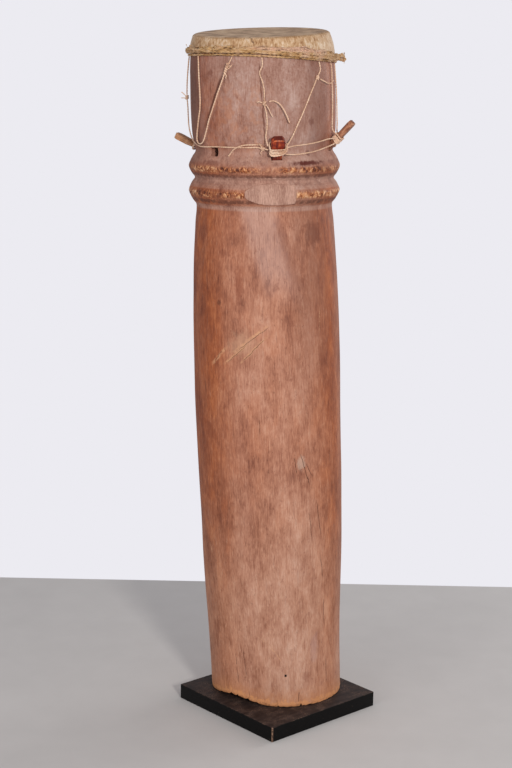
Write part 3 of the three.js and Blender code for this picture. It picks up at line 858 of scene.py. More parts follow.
# marks on the wood, with arcStep the millimetres round the log for one degree
# stains are azimuth, height, reach, tallness, share and tint; the rest are both ends and half width
woodMarks = dict(
    arcStep=2.44,
    nail=(10, 66),
    stains=[
        (-44, 1236, 8, 1, 0.55, (112, 58, 40)), (41, 1144, 7, 1.3, 0.55, (106, 58, 46)),
        (39, 1087, 6, 1, 0.5, (86, 48, 42)), (50, 1058, 22, 0.3, 0.4, (96, 44, 26)),
        (36, 1069, 40, 0.13, 0.9, (84, 24, 14)), (-62, 940, 26, 0.8, 0.4, (110, 50, 32)),
        (42, 935, 28, 1.1, 0.45, (98, 50, 38)), (-35, 905, 16, 0.6, 0.3, (112, 52, 36)),
        (-22, 850, 10, 4, 0.35, (130, 62, 38)), (25, 500, 10, 1.8, 0.5, (210, 180, 160)),
        (-72, 600, 18, 2.4, 0.4, (112, 52, 34)), (-20, 735, 34, 0.8, 0.4, (206, 162, 132)),
        (-40, 812, 6, 1, 0.55, (74, 36, 24)), (-52, 560, 16, 2.0, 0.35, (120, 58, 36)),
        (48, 700, 18, 2.2, 0.35, (118, 60, 40)), (38, 120, 12, 3, 0.4, (188, 150, 140)),
        (-60, 150, 14, 2, 0.45, (126, 66, 42)), (30, 60, 12, 1.2, 0.35, (120, 60, 40)),
    ],
    gouges=[(-24, 722, 3, 771, 0.7), (-20, 701, -1, 748, 0.8), (-45, 700, -37, 722, 0.6),
            (-33, 698, -15, 736, 0.7)],
    cracks=[(24, 522, 33, 446, 0.9), (19, 515, 21, 478, 0.7), (29, 500, 35, 470, 0.6),
            (22, 6, 22.6, 30, 1.3), (-26, 12, -25, 30, 0.9), (1.5, 2, 1.2, 16, 0.8),
            (-8, 592, -7, 560, 0.6), (-58, 660, -57, 600, 0.7), (44, 302, 47, 256, 0.9),
            (39, 424, 44, 340, 0.7), (32, 402, 35, 334, 0.6), (48, 216, 50, 150, 0.8),
            (-30, 122, -27, 58, 0.7), (-38, 110, -36, 40, 0.6), (52, 90, 53, 30, 0.7)],
    scrapes=[(-17, 155, -3, 128, 0.8), (-3, 128, 6.5, 96, 1.3), (-30, 714, 4, 776, 4.6),
             (-23, 695, 2, 756, 3.6), (-49, 690, -32, 730, 4.6), (-37, 692, -13, 740, 3.8),
             (-62, 330, -58, 300, 1.3), (46, 800, 45, 742, 1.0)],
    # painted shadows cast by the front cord and by the slack loop's two runs on the wood beside them
    cordShadows=[(-31, 1240, -55, 1113, 4.4), (-61, 1225, -61, 1130, 3.4), (-1.6, 1256, -0.2, 1176, 2.4),
          (0.2, 1180, 1.4, 1116, 2.4)],
)


def makeLogFinish():
    finish = Finish("logWood")
    place = finish.drumPlace()
    x, y, height = finish.split(place)
    turn = finish.turn(x, y)
    azimuth = turn * math.degrees(1)
    arcStep = woodMarks["arcStep"]
    arc = azimuth * arcStep
    level = height + turn.math("SINE", turn) * log["ringTilt"]

    grain = finish.noise(place, (0.45, 0.45, 0.035), 4.0, 0.6)
    fine = finish.noise(place, (0.75, 0.75, 0.1), 2.0)
    streaks = finish.noise(place, (0.24, 0.24, 0.022), 3.0, 0.6, 0.5)
    blotch = finish.noise(place, (0.07, 0.07, 0.05), 4.0, 0.6, 0.6)
    broad = finish.noise(place, (0.02, 0.02, 0.006), 3.0)
    patch = finish.noise(place, (0.034, 0.034, 0.015), 4.0, 0.62)
    mottle = finish.noise(place, (0.12, 0.12, 0.06), 5.0, 0.65)
    grit = finish.noise(place, (0.2, 0.2, 0.2), 3.0, 0.6, 0.6)

    # bare wood, from dark red-brown to pale tan, paler low down and warmer at the sides, whose darker tone is
    # partly the wood's own and partly painted shade
    tone = finish.swayed(0.49, (grain, 0.35), (fine, 0.3), (mottle, 0.2), (broad, 0.45), (patch, 0.5),
                         (streaks, 0.32), (blotch, 0.25))
    wood = finish.ramp(tone, (0.26, 116, 58, 36), (0.43, 164, 98, 66), (0.56, 188, 122, 88),
                       (0.76, 210, 154, 120))
    low = height.ease(600.0, 150.0)
    pale = finish.ramp(tone, (0.3, 160, 108, 80), (0.48, 188, 142, 116), (0.7, 210, 172, 148))
    wood = finish.mix(low * (0.25 + patch * 0.75).capped(), wood, pale)
    # warmer, darker sides: partly the wood's own tone, partly painted shade
    sides = abs(azimuth - 3).ease(24.0, 58.0) + azimuth.near(-32.0, 30.0) * 0.5
    sides = sides.capped() * (1 - low * 0.6)
    warm = finish.ramp(tone, (0.3, 116, 50, 22), (0.5, 158, 82, 44), (0.7, 198, 122, 74))
    wood = finish.mix((sides * (0.4 + patch.ease(0.36, 0.62) * 0.55)).capped(), wood, warm)
    glow = patch.ease(0.5, 0.64) * (1 - low * 0.5)
    wood = finish.tint(wood, glow * 0.25, 196, 116, 70)
    # painted shade over the right side of the body, patchy
    paintedShadeRight = azimuth.near(38.0, 26.0) * height.ease(520.0, 840.0) * (0.35 + patch.ease(0.4, 0.58) * 0.65)
    wood = finish.tint(wood, paintedShadeRight * 0.5, 124, 76, 58)

    # grey-mauve dust: in the ring hollows and down the front
    groove, ringFoot = log["rings"][2][0], log["rings"][0][0]
    neck = height.ease(1045.0, 1092.0)
    hollow = (level.near(groove, 12.0) + level.near(1082.0, 22.0) + level.near(1026.0, 5.0) * 0.6
              + level.near(ringFoot, 7.0) * 0.8)
    ridge = finish.swayed(azimuth - 2 + (height - 914) * 0.112, (mottle, 7), (patch, 10))
    band = height.ease(790.0, 890.0) * level.ease(992.0, 980.0)
    front = ridge.near(0.0, 20.0) * band
    streak = ridge.near(14.0, 6.0) * band * level.ease(975.0, 950.0)
    wide = azimuth.near(4.0, 58.0) * 0.45 + azimuth.near(92.0, 32.0) * 0.5
    dust = hollow * (0.55 + patch * 0.6) + wide * (0.25 + broad * 1.1) + mottle.ease(0.54, 0.74) * 0.08
    mauve = finish.ramp(tone, (0.28, 152, 112, 98), (0.5, 182, 144, 128), (0.72, 206, 176, 164))
    colour = finish.mix(dust.capped() * (1 - neck * (1 - hollow)).capped() * 0.85, wood, mauve)
    colour = finish.tint(colour, front * (patch * 0.7 + grain * 0.4).capped() * 0.65, 200, 170, 160)
    colour = finish.tint(colour, streak * 0.4, 128, 76, 58)

    # the neck, mauve with rusty patches, with painted shade darkening its left edge
    skin = finish.swayed(0.5, (grit, 0.35), (mottle, 0.3), (patch, 0.7), (fine, 0.3), (grain, 0.2),
                         (streaks, 0.15))
    neckTone = finish.ramp(skin, (0.3, 140, 98, 82), (0.44, 164, 124, 109), (0.56, 177, 142, 129),
                           (0.72, 194, 165, 154))
    rust = blotch.ease(0.48, 0.62) * azimuth.near(-18.0, 34.0) * height.ease(1235.0, 1190.0)
    neckTone = finish.tint(neckTone, rust * (0.15 + grit * 0.4), 182, 122, 88)
    leftFront = azimuth.near(-30.0, 26.0) * height.ease(1240.0, 1150.0)
    neckSide = (abs(azimuth - 6).ease(34.0, 58.0) + leftFront * 0.5) * 0.7
    neckTone = finish.mix((neckSide * (0.3 + blotch * 0.8)).capped(), neckTone, warm)
    # painted shade down the neck's left edge
    neckTone = finish.tint(neckTone, azimuth.ease(-55.0, -67.0) * 0.6, 100, 62, 48)
    # a darker patch on the neck's right: partly brown-red streaks, partly painted shade
    neckTone = finish.tint(neckTone, azimuth.near(50.0, 16.0) * (0.25 + blotch * 0.5), 122, 78, 62)
    colour = finish.mix(neck * (1 - hollow * 0.4).capped(), colour, neckTone)

    # where the facet is cut across the lower ring
    cutAway = log["facet"]
    facetTurn = azimuth - cutAway["azimuth"]
    power = cutAway["leftPower"] - facetTurn.ease(-cutAway["blunt"], cutAway["blunt"]) * (
        cutAway["leftPower"] - cutAway["rightPower"])
    facetAngle = facetTurn * math.radians(1)
    bend = facetAngle.math("COSINE", facetAngle)
    outwards = finish.distance(x, y / log["logDepth"])
    facetSide = outwards - cutAway["reach"] / bend.math("POWER", bend, power)
    nearFacet = (abs(facetTurn).ease(cutAway["spread"] + 0.6, cutAway["spread"] - 0.3)
                 * level.ease(988.0, 990.0) * level.ease(1044.0, 1042.0))
    facet = facetSide.ease(-1.7, -1.1) * nearFacet

    # ring crests, chipped back to gold with dark gaps
    wobble = level + (mottle - 0.5) * 10
    upper = wobble.near(1058.5, 7.4) * (1 - azimuth.near(3.0, 14.0) * 0.75)
    crest = (upper + wobble.near(1012.5, 8.4)).capped() * (1 - facet)
    coarse = finish.noise(place, (0.15, 0.15, 0.11), 4.0, 0.62, 0.8)
    chips = finish.swayed(0.48, (coarse, 1.1), (patch, 0.6), (fine, 0.4))
    worn = finish.ramp(chips, (0.34, 76, 32, 20), (0.45, 150, 80, 46), (0.54, 200, 132, 84),
                       (0.7, 242, 196, 154))
    colour = finish.mix(crest * (blotch.ease(0.34, 0.5) * 0.75 + 0.25), colour, worn)
    # painted shadow in a dark line under each ring crest
    underCrestShadow = (wobble.near(1047.0, 4.5) + wobble.near(999.5, 5.5)).capped()
    colour = finish.tint(colour, underCrestShadow * (0.2 + mottle.ease(0.36, 0.56) * 0.5), 82, 44, 34)
    gullies = wobble.near(groove, 13.0) * blotch.ease(0.47, 0.6) * (1 - facet)
    colour = finish.tint(colour, gullies * 0.5, 128, 86, 72)
    above = wobble.near(1070.0, 6.0) * patch.ease(0.45, 0.6)
    colour = finish.tint(colour, above * 0.55, 104, 52, 40)
    flat = finish.ramp(finish.swayed(0.5, (fine, 0.8), (patch, 0.8)),
                       (0.35, 156, 115, 99), (0.62, 196, 156, 138))
    colour = finish.mix(facet, colour, flat)
    # painted shadow along the facet's lower edge
    rim = facetSide.ease(-3.2, -2.0) * (1 - facet) * nearFacet * level.ease(1032.0, 1020.0)
    colour = finish.tint(colour, rim * 0.5, 100, 58, 44)

    # spots, pits, dark grain lines and pale flecks all over
    spots = finish.noise(place, (0.055, 0.055, 0.04), 4.0, 0.65).ease(0.6, 0.72)
    colour = finish.tint(colour, spots * 0.4, 118, 62, 44)
    pits = finish.noise(place, (0.4, 0.4, 0.13), 2.0).ease(0.66, 0.74)
    colour = finish.tint(colour, pits * 0.25, 100, 54, 38)
    lines = streaks.ease(0.6, 0.69) * (1 - neck * 0.5) * (1 - facet) * (1 - low * 0.4)
    colour = finish.tint(colour, lines * 0.42, 116, 62, 42)
    flecks = finish.noise(place, (0.4, 0.4, 0.04), 2.0).ease(0.64, 0.72)
    colour = finish.tint(colour, flecks * (0.18 + low * 0.2), 220, 178, 150)

    def spot(atAzimuth, atHeight, reach, tall):
        away = finish.distance(arc - atAzimuth * arcStep, (height - atHeight) / tall)
        ragged = (mottle - 0.5) * (reach * 1.6) + (grit - 0.5) * (reach * 0.8)
        return (away + ragged).ease(reach * 1.1, reach * 0.4)

    for atAzimuth, atHeight, reach, tall, share, tint in woodMarks["stains"]:
        colour = finish.tint(colour, spot(atAzimuth, atHeight, reach, tall) * share, *tint)

    def cut(fromAzimuth, fromHeight, toAzimuth, toHeight, reach):
        run, rise = (toAzimuth - fromAzimuth) * arcStep, toHeight - fromHeight
        length = math.hypot(run, rise)
        across = arc - fromAzimuth * arcStep
        along = height - fromHeight
        off = abs((across * (rise / length) - along * (run / length)) + (mottle - 0.5) * 6)
        share = (across * run + along * rise) / length ** 2
        return off.ease(reach, reach * 0.2) * share.ease(0.0, 0.15) * share.ease(1.0, 0.75)

    def cuts(kind):
        first, *others = woodMarks[kind]
        total = cut(*first)
        for row in others:
            total = total.math("MAXIMUM", total, cut(*row))
        return total

    gouges, cracks, scrapes = cuts("gouges"), cuts("cracks"), cuts("scrapes")
    # painted shadows cast by the cords on the wood beside them
    colour = finish.tint(colour, cuts("cordShadows") * 0.75, 98, 50, 34)
    colour = finish.tint(colour, scrapes * (0.1 + grit.ease(0.36, 0.62) * 0.6), 216, 164, 124)
    broken = fine.ease(0.3, 0.55)
    colour = finish.tint(colour, (gouges * 0.55 * broken + cracks * 0.75).capped(), 78, 40, 27)
    nailAzimuth, nailHeight = woodMarks["nail"]
    across, along = arc - nailAzimuth * arcStep, height - nailHeight
    nail = (across * across + along * along).ease(10.0, 4.0)
    colour = finish.tint(colour, nail, 28, 14, 10)

    # raw edge at the foot, and the dark inside of the bore
    chip = logForms["chip"]
    away = (azimuth - chip["azimuth"]) / chip["spread"]
    edgeLevel = (height - chip["depth"] * away.math("POWER", math.e, away * away * -1)
                 + x * math.tan(math.radians(drum["lean"])))
    ragged = finish.swayed(edgeLevel, (mottle, 34), (grit, 22))
    colour = finish.tint(colour, ragged.ease(46.0, 6.0) * 0.45, 204, 138, 92)
    colour = finish.tint(colour, ragged.ease(15.0, 6.0) * (0.4 + patch * 0.5), 222, 156, 104)
    colour = finish.tint(colour, edgeLevel.ease(9.0, 2.0) * grit.ease(0.5, 0.62) * 0.6, 112, 62, 38)
    colour = finish.tint(colour, finish.distance(x, y).ease(122.0, 112.0) * 0.6, 84, 50, 36)

    relief = (grain * 0.6 + fine * 0.5 + mottle * 0.3 + streaks * 0.6 + crest * chips * 1.8
              - gouges * 1.3 - cracks * 1.6 - scrapes * 0.4 - pits * 0.6 - nail * 2)
    normal = finish.bump(relief, 0.0011, 0.8)
    rough = 0.62 + dust.capped() * 0.18 - crest * 0.08 + (fine - 0.5) * 0.15
    return finish.paint(Base_Color=colour, Roughness=rough, Normal=normal, Specular_IOR_Level=0.3)


def makeLog():
    rows = logRows()
    bm = spunRows(rows, log["segments"], lambda row, azimuth: placeLog(*row, azimuth))
    holder = addObject("log_uncut", finishMesh("carved_log", bm, log["sharp"]))
    cutters = holeCutters()
    for cutter in cutters:
        boolean = holder.modifiers.new("pegHole", "BOOLEAN")
        boolean.operation = "DIFFERENCE"
        boolean.solver = "EXACT"
        boolean.object = cutter
    bpy.context.view_layer.update()
    cut = bpy.data.meshes.new_from_object(holder.evaluated_get(bpy.context.evaluated_depsgraph_get()))
    cut.name = "carved_log"
    for spare in [holder, *cutters]:
        bpy.data.objects.remove(spare)
    cut.set_sharp_from_angle(angle=math.radians(log["sharp"]))
    addPiece("carved_log", cut, makeLogFinish(), ["trunk"])
    print("log carved with", len(cut.polygons), "faces")


makeLog()


# Hide head: stretched over the mouth, its skirt held by the hoop
hideForms = dict(segments=264, discRows=12, cornerRows=7, skirtRows=16, sharp=60, sag=1.2, pleat=0.9,
                 lump=0.5, ragged=1.2, discTuck=2, overRim=3)


# share runs from 0 to 1 over the disc, to 2 round its corner and to 3 down the skirt
def hideStation(share, azimuth, inner):
    rough = noise.noise((sine(azimuth) * 9, cosine(azimuth) * 9, 2))
    edge = hoopAt(azimuth) - hide["belowHoop"] + hideForms["ragged"] * rough
    inset = hide["thick"] if inner else 0
    discEdge = log["rimRadius"] - hide["corner"] + hideForms["discTuck"]
    wallTop = headAt(azimuth) - hide["drop"]
    wallRadius = logRadius(azimuth, wallTop) + hide["gap"] + hide["thick"]
    if share < 1:
        radius = discEdge * share
        level = headAt(azimuth, radius / log["rimRadius"]) - hideForms["sag"] * (1 - share ** 2)
        place = Vector((radius * sine(azimuth), radius * cosine(azimuth), 0))
        level += hideForms["lump"] * noise.noise(place * 0.03) * share
        return polar(azimuth, level - inset, radius)
    if share < 2:
        bend = (share - 1) * 90
        radius = discEdge + (wallRadius - discEdge) * sine(bend)
        level = wallTop + hide["drop"] * cosine(bend)
        return polar(azimuth, level - inset * cosine(bend), radius - inset * sine(bend))
    run = share - 2
    height = mixed(wallTop, edge, run)
    wood = logRadius(azimuth, height) + hide["gap"]
    fold = abs(noise.noise((sine(azimuth) * 11, cosine(azimuth) * 11, run * 0.7)))
    fold = fold * hideForms["pleat"] * (run * (1 - run) * 3 + 0.15)
    return polar(azimuth, height, wood + (0 if inner else hide["thick"] + fold))


def makeHideFinish():
    finish = Finish("driedHide")
    place = finish.drumPlace()
    x, y, height = finish.split(place)
    radius = finish.distance(x, y)
    azimuth = finish.turn(x, y) * math.degrees(1)
    lines = finish.noise(place, (0.35, 0.35, 0.02), 4.0, 0.6)
    broad = finish.noise(place, (0.03, 0.03, 0.05), 3.0)
    mottle = finish.noise(place, (0.12, 0.12, 0.12), 4.0, 0.6)
    pores = finish.noise(place, (1.1, 1.1, 1.1), 2.0)
    top = finish.ramp(finish.swayed(0.5, (broad, 0.7), (mottle, 0.25), (lines, 0.2)),
                      (0.36, 146, 114, 86), (0.5, 196, 162, 128), (0.64, 226, 196, 160))
    sideTone = finish.swayed(0.49, (broad, 0.75), (lines, 1.15), (mottle, 0.4))
    # painted light: the skirt brightens towards its right side
    sideTone = sideTone + azimuth.ease(-60.0, 30.0) * 0.04
    side = finish.ramp(sideTone, (0.26, 148, 104, 64), (0.44, 188, 150, 110), (0.58, 206, 174, 138),
                       (0.76, 232, 212, 186))
    colour = finish.mix(radius.ease(127.5, 121.0), side, top)
    stain = mottle.ease(0.56, 0.7) * height.ease(1292.0, 1268.0)
    colour = finish.tint(colour, stain * 0.55, 128, 84, 50)
    veins = lines.ease(0.6, 0.68) * broad.ease(0.45, 0.6)
    colour = finish.tint(colour, veins * 0.6, 132, 94, 68)
    splitLine = azimuth + 9 - (1297 - height) * 0.3 + (mottle - 0.5) * 6
    split = splitLine.near(0.0, 0.9) * height.near(1292.0, 9.0)
    colour = finish.tint(colour, split * 0.75, 84, 54, 36)
    fold = radius.near(126.0, 3.2) * mottle.ease(0.4, 0.58)
    colour = finish.tint(colour, fold * 0.5, 150, 108, 66)
    specks = finish.noise(place, (0.5, 0.5, 0.4), 2.0).ease(0.69, 0.76)
    colour = finish.tint(colour, specks * 0.6, 104, 70, 46)
    normal = finish.bump(lines * 0.6 + mottle * 0.7 + pores * 0.25, 0.0009, 0.6)
    rough = 0.5 + mottle * 0.25
    return finish.paint(Base_Color=colour, Roughness=rough, Normal=normal, Specular_IOR_Level=0.4)


def makeHide():
    forms = hideForms
    outer = [index / forms["discRows"] for index in range(1, forms["discRows"])]
    outer += [1 + index / forms["cornerRows"] for index in range(forms["cornerRows"])]
    outer += [2 + index / forms["skirtRows"] for index in range(forms["skirtRows"] + 1)]
    rows = [(share, False) for share in outer] + [(share, True) for share in outer[::-1]]
    bm = spunRows(rows, forms["segments"], lambda row, azimuth: hideStation(row[0], azimuth, row[1]),
                  closed=False)
    loops = [edge for edge in bm.edges if edge.is_boundary]
    topLevel = log["rim"] - 2.2  # between the outer and the inner ring at the middle
    bmesh.ops.contextual_create(bm, geom=[edge for edge in loops if edge.verts[0].co.z > topLevel])
    bmesh.ops.contextual_create(bm, geom=[edge for edge in bm.edges if edge.is_boundary])
    poles = [face for face in bm.faces if len(face.verts) > 8]
    bmesh.ops.poke(bm, faces=poles)
    mesh = finishMesh("stretched_hide", bm, forms["sharp"])
    piece = addPiece("stretched_hide", mesh, makeHideFinish(), ["hide_head"])
    rim = (log["rimRadius"] + forms["overRim"]) / 1000
    skirt = (log["rim"] - hoop["height"] + hide["belowHoop"]) / 1000
    reach = rim + skirt
    2 * reach
    2 * reach
    math.pi * reach ** 2
    print("hide stretched, cut from a round of", round(2000 * reach), "mm")


makeHide()

# Hoop: a roll of hide edge and fibre, tight on the left and parted in two on the right
# strands: azimuth from and to, lift, distance out, seed, wave and diameter
# ends and frays: stops of azimuth, lift and distance out
hoopForms = dict(
    steps=540, pitch=26, wander=0.3, lump=1.5, lumpScale=0.2, lobes=3, lobeSpread=0.22, lobeSides=5,
    endDiameter=6.4, frayDiameter=1.3, cordPitch=17, cordWander=0.25,
    partFrom=(8, 30), partTo=(95, 140), partLift=(0.75, 1.25),
    strands=[
        (0, 360, 2.1, 0, 1, 0.8, 7.6), (0, 360, -2.6, -0.2, 2, 0.8, 6.2), (-14, 60, 5.6, -0.6, 3, 2.4, 6.6),
        (-82, -24, 3.2, 1.2, 4, 1.6, 3.4), (-74, -8, -1.4, 1.8, 9, 1.8, 2.8),
        (14, 78, -4.2, 1.0, 8, 1.6, 3.0), (110, 215, 3.6, 0.8, 5, 1.4, 3.4),
        (-86, -54, 5.8, -0.4, 21, 3.4, 4.0), (-52, -22, 6.2, -0.6, 22, 4.0, 4.2),
        (-6, 36, 7.6, -0.6, 23, 4.6, 4.4), (20, 66, 6.4, 0.4, 24, 4.0, 3.2),
    ],
    ends=[
        [(80, 1, 0), (85, 1, 3), (89, 2, 8), (92, 0, 13), (92.5, -4, 15), (90, -6, 11)],
        [(78, -3, 0), (84, -3, 3), (89, -5, 8), (92, -3, 12)],
        [(82, 2, 1), (87, 4, 5), (91, 5, 10), (93, 2, 14)],
    ],
    frays=[
        [(-74, 4, 2), (-75, 8, 4), (-77, 11, 4)], [(-70, 4, 2), (-68, 8, 4), (-64, 9, 4)],
        [(-40, 5, 1), (-36, 8, 3), (-31, 7, 3)], [(-6, 5, 2), (-2, 9, 4), (4, 10, 4), (9, 8, 3)],
        [(26, 6, 2), (28, 11, 3), (32, 13, 4), (36, 11, 4)], [(30, 5, 2), (34, 9, 5), (39, 12, 5)],
        [(36, 6, 2), (33, 10, 4), (30, 12, 4)], [(91, 3, 12), (94, 6, 15), (95, 9, 15)],
        [(92, -4, 13), (94, -8, 15), (93, -11, 14)], [(140, 4, 2), (144, 8, 4), (149, 9, 4)],
        [(226, 4, 2), (222, 8, 4), (217, 8, 4)],
    ],
)


def hoopRadius(azimuth, height):
    wood = logRadius(azimuth, min(height, hoopAt(azimuth) - hoop["tall"] / 2))
    skirt = wood + hide["gap"] + hide["thick"] + touch
    return skirt + hoop["depth"] / 2


def hoopStrand(fromAzimuth, toAzimuth, lift, out, seed, wave):
    count = round(abs(toAzimuth - fromAzimuth) / 360 * hoopForms["steps"])
    points = []
    for index in range(count + 1):
        azimuth = mixed(fromAzimuth, toAzimuth, index / count)
        wholeTurn = azimuth % 360
        parted = eased(wholeTurn, *hoopForms["partFrom"]) * (1 - eased(wholeTurn, *hoopForms["partTo"]))
        wander = wave * noise.noise((sine(azimuth) * 6, cosine(azimuth) * 6, seed * 3.3))
        height = hoopAt(azimuth) + lift * mixed(*hoopForms["partLift"], parted) + wander
        points.append(polar(azimuth, height, hoopRadius(azimuth, height) + out))
    return points


def endStrand(stops):
    places = []
    for azimuth, lift, out in stops:
        height = hoopAt(azimuth) + lift
        places.append(polar(azimuth, height, hoopRadius(azimuth, hoopAt(azimuth)) + out))
    return smoothPath(places, 1.0)


def makeHoopFinish():
    finish = Finish("hideRoll")
    place = finish.drumPlace()
    strands = finish.noise(place, (0.16, 0.16, 0.7), 4.0, 0.62)
    creaseAndShade = finish.noise(place, (0.06, 0.06, 0.4), 4.0, 0.6, 1.2)
    broad = finish.noise(place, (0.035, 0.035, 0.05), 2.0)
    speck = finish.noise(place, (0.2, 0.2, 0.45), 4.0, 0.65, 0.8)
    colour = finish.ramp(finish.swayed(0.52, (strands, 0.7), (broad, 0.5), (creaseAndShade, -0.5)),
                         (0.3, 116, 76, 42), (0.43, 182, 134, 82), (0.55, 212, 172, 120),
                         (0.72, 238, 210, 172))
    colour = finish.tint(colour, broad.ease(0.5, 0.62) * 0.35, 206, 152, 116)
    x, y, height = finish.split(place)
    turn = finish.turn(x, y)
    azimuth = turn * math.degrees(1)
    rise = height - hoop["height"] + turn.math("SINE", turn) * hoop["tilt"]
    flap = azimuth.near(22.0, 44.0) * rise.ease(2.5, 5.5)
    colour = finish.tint(colour, flap * 0.6, 226, 182, 160)
    right = azimuth.near(48.0, 40.0) * broad.ease(0.4, 0.56)
    colour = finish.tint(colour, right * 0.4, 222, 186, 164)
    colour = finish.tint(colour, speck.ease(0.58, 0.68) * 0.7, 78, 46, 28)
    # painted shade in the roll's creases
    colour = finish.tint(colour, creaseAndShade.ease(0.56, 0.64) * 0.75, 84, 52, 32)
    normal = finish.bump(strands - speck * 0.6 - creaseAndShade * 1.4, 0.0018, 0.9)
    return finish.paint(Base_Color=colour, Roughness=0.68 + speck * 0.2, Normal=normal)


def lumpy(mesh, amount, scale):
    bm = bmesh.new()
    bm.from_mesh(mesh)
    bm.normal_update()
    for vert in bm.verts:
        place = vert.co * 1000
        along = Vector((place.x * scale * 0.5, place.y * scale * 0.5, place.z * scale * 2.2))
        vert.co += vert.normal * (amount / 1000) * (noise.noise(along) + 0.5 * noise.noise(along * 2.3))
    bm.to_mesh(mesh)
    bm.free()


def makeHoop():
    finish = makeHoopFinish()
    forms = hoopForms
    rollSection = cordSection("rollSection", forms["lobes"], forms["lobeSpread"], forms["lobeSides"])
    strands = []
    for *run, seed, wave, diameter in forms["strands"]:
        strands.append((hoopStrand(*run, seed, wave), diameter, seed))
    for index, stops in enumerate(forms["ends"]):
        strands.append((endStrand(stops), forms["endDiameter"] - index, 6 + index))
    for index, stops in enumerate(forms["frays"]):
        strands.append((endStrand(stops), forms["frayDiameter"], 12 + index))
    mesh = twistedMesh("hide_roll", strands, rollSection, forms["pitch"], forms["wander"])
    lumpy(mesh, forms["lump"], forms["lumpScale"])
    addPiece("hide_roll", mesh, finish, ["hoop"])
    below = []
    for index in range(forms["steps"] + 1):
        azimuth = index / forms["steps"] * 360
        height = hoopAt(azimuth) - (hoop["tall"] + hoop["cord"]) / 2 - touch
        wood = logRadius(azimuth, height - hoop["cord"] / 2)
        below.append(polar(azimuth, height, wood + cordLook["lay"] + hoop["cord"] / 2))
    mesh = twistedMesh("under_roll_cord", [(below, hoop["cord"], 33)], plySection, forms["cordPitch"],
                       forms["cordWander"])
    addPiece("under_roll_cord", mesh, finish, ["hoop_cord"])
    print("hoop rolled")


makeHoop()


# Pegs: whittled blocks, the front one handled to a red gloss
pegLooks = dict(
    front=dict(dark=(56, 10, 4), middle=(140, 36, 8), pale=(218, 108, 50), gloss=0.28, slot="peg_red"),
    right=dict(dark=(104, 56, 36), middle=(162, 104, 74), pale=(204, 154, 120), gloss=0.5,
               slot="peg_brown"),
    left=dict(dark=(156, 104, 68), middle=(204, 150, 108), pale=(228, 186, 148), gloss=0.55,
              slot="peg_brown"),
)


def makePegFinish(name, look, peg, place):
    finish = Finish(name)
    coordinates = finish.drumPlace()
    back = place.inverted()
    sockets = {0: coordinates, 1: back.translation, 2: back.to_euler("XYZ"), 3: (1, 1, 1)}
    own = finish.node("ShaderNodeMapping", sockets=sockets)
    grain = finish.noise(own, (0.5, 0.5, 0.035), 4.0, 0.6)
    mottle = finish.noise(own, (0.16, 0.16, 0.1), 3.0)
    colour = finish.ramp(grain * 0.5 + mottle * 0.5, (0.36, *look["dark"]), (0.52, *look["middle"]),
                         (0.68, *look["pale"]))
    over, along = finish.split(own)[1:]
    # painted shade darkening the peg towards the wall, where it goes into its hole
    colour = finish.tint(colour, along.ease(14.0, 2.0) * 0.45, 70, 36, 24)
    end = along.ease(peg["reach"] - 1.6, peg["reach"] - 0.6)
    colour = finish.tint(colour, end * (0.3 + mottle * 0.5), *look["dark"])
    # a pale band along the ridge between the end face and the outer face: partly edge wear, partly painted
    # highlight
    edge = over.ease(2.4 - peg["thickness"] / 2, 1.2 - peg["thickness"] / 2)
    worn = edge * along.ease(peg["reach"] - 3.4, peg["reach"] - 1.6)
    colour = finish.tint(colour, worn * grain.ease(0.34, 0.56) * 0.85, *look["pale"])
    normal = finish.bump(grain + mottle * 0.5, 0.0006, 0.6)
    return finish.paint(Base_Color=colour, Roughness=look["gloss"] + mottle * 0.3, Normal=normal)


def makePegs():
    for seed, (name, peg) in enumerate(pegSet["pegs"].items()):
        place = pegPlace(peg)
        bm = slabMesh(peg, pegSet["tail"], 0, pegSet["edge"])
        longEdges = [edge for edge in bm.edges if edge.calc_length() > 6]
        bmesh.ops.subdivide_edges(bm, edges=longEdges, cuts=5, use_grid_fill=True)
        for vert in bm.verts:
            whittle = noise.noise_vector((vert.co + Vector((seed * 31, 0, 0))) * pegSet["whittleScale"])
            across = vert.co.x * pegSet["whittleAcross"] * (1 + whittle.x)
            over = vert.co.y * pegSet["whittleOver"] * (1 + whittle.y)
            vert.co -= Vector((across, over, 0))
            vert.co.y *= mixed(peg.get("neck", 1), 1, eased(vert.co.z, pegSet["neckLow"], pegSet["neckHigh"]))
        mesh = finishMesh(f"whittled_peg_{name}", bm, pegSet["sharp"], toPart @ place)
        look = pegLooks.get(name, pegLooks["right"])
        finish = makePegFinish(f"pegWood_{name}", look, peg, place)
        addPiece(f"whittled_peg_{name}", mesh, finish, [f"peg_{name}"])
    print("pegs whittled")


makePegs()

# Plinth: black satin board, dusty brown on top
plinth = dict(side=280, high=30, edge=1.4, sharp=50)


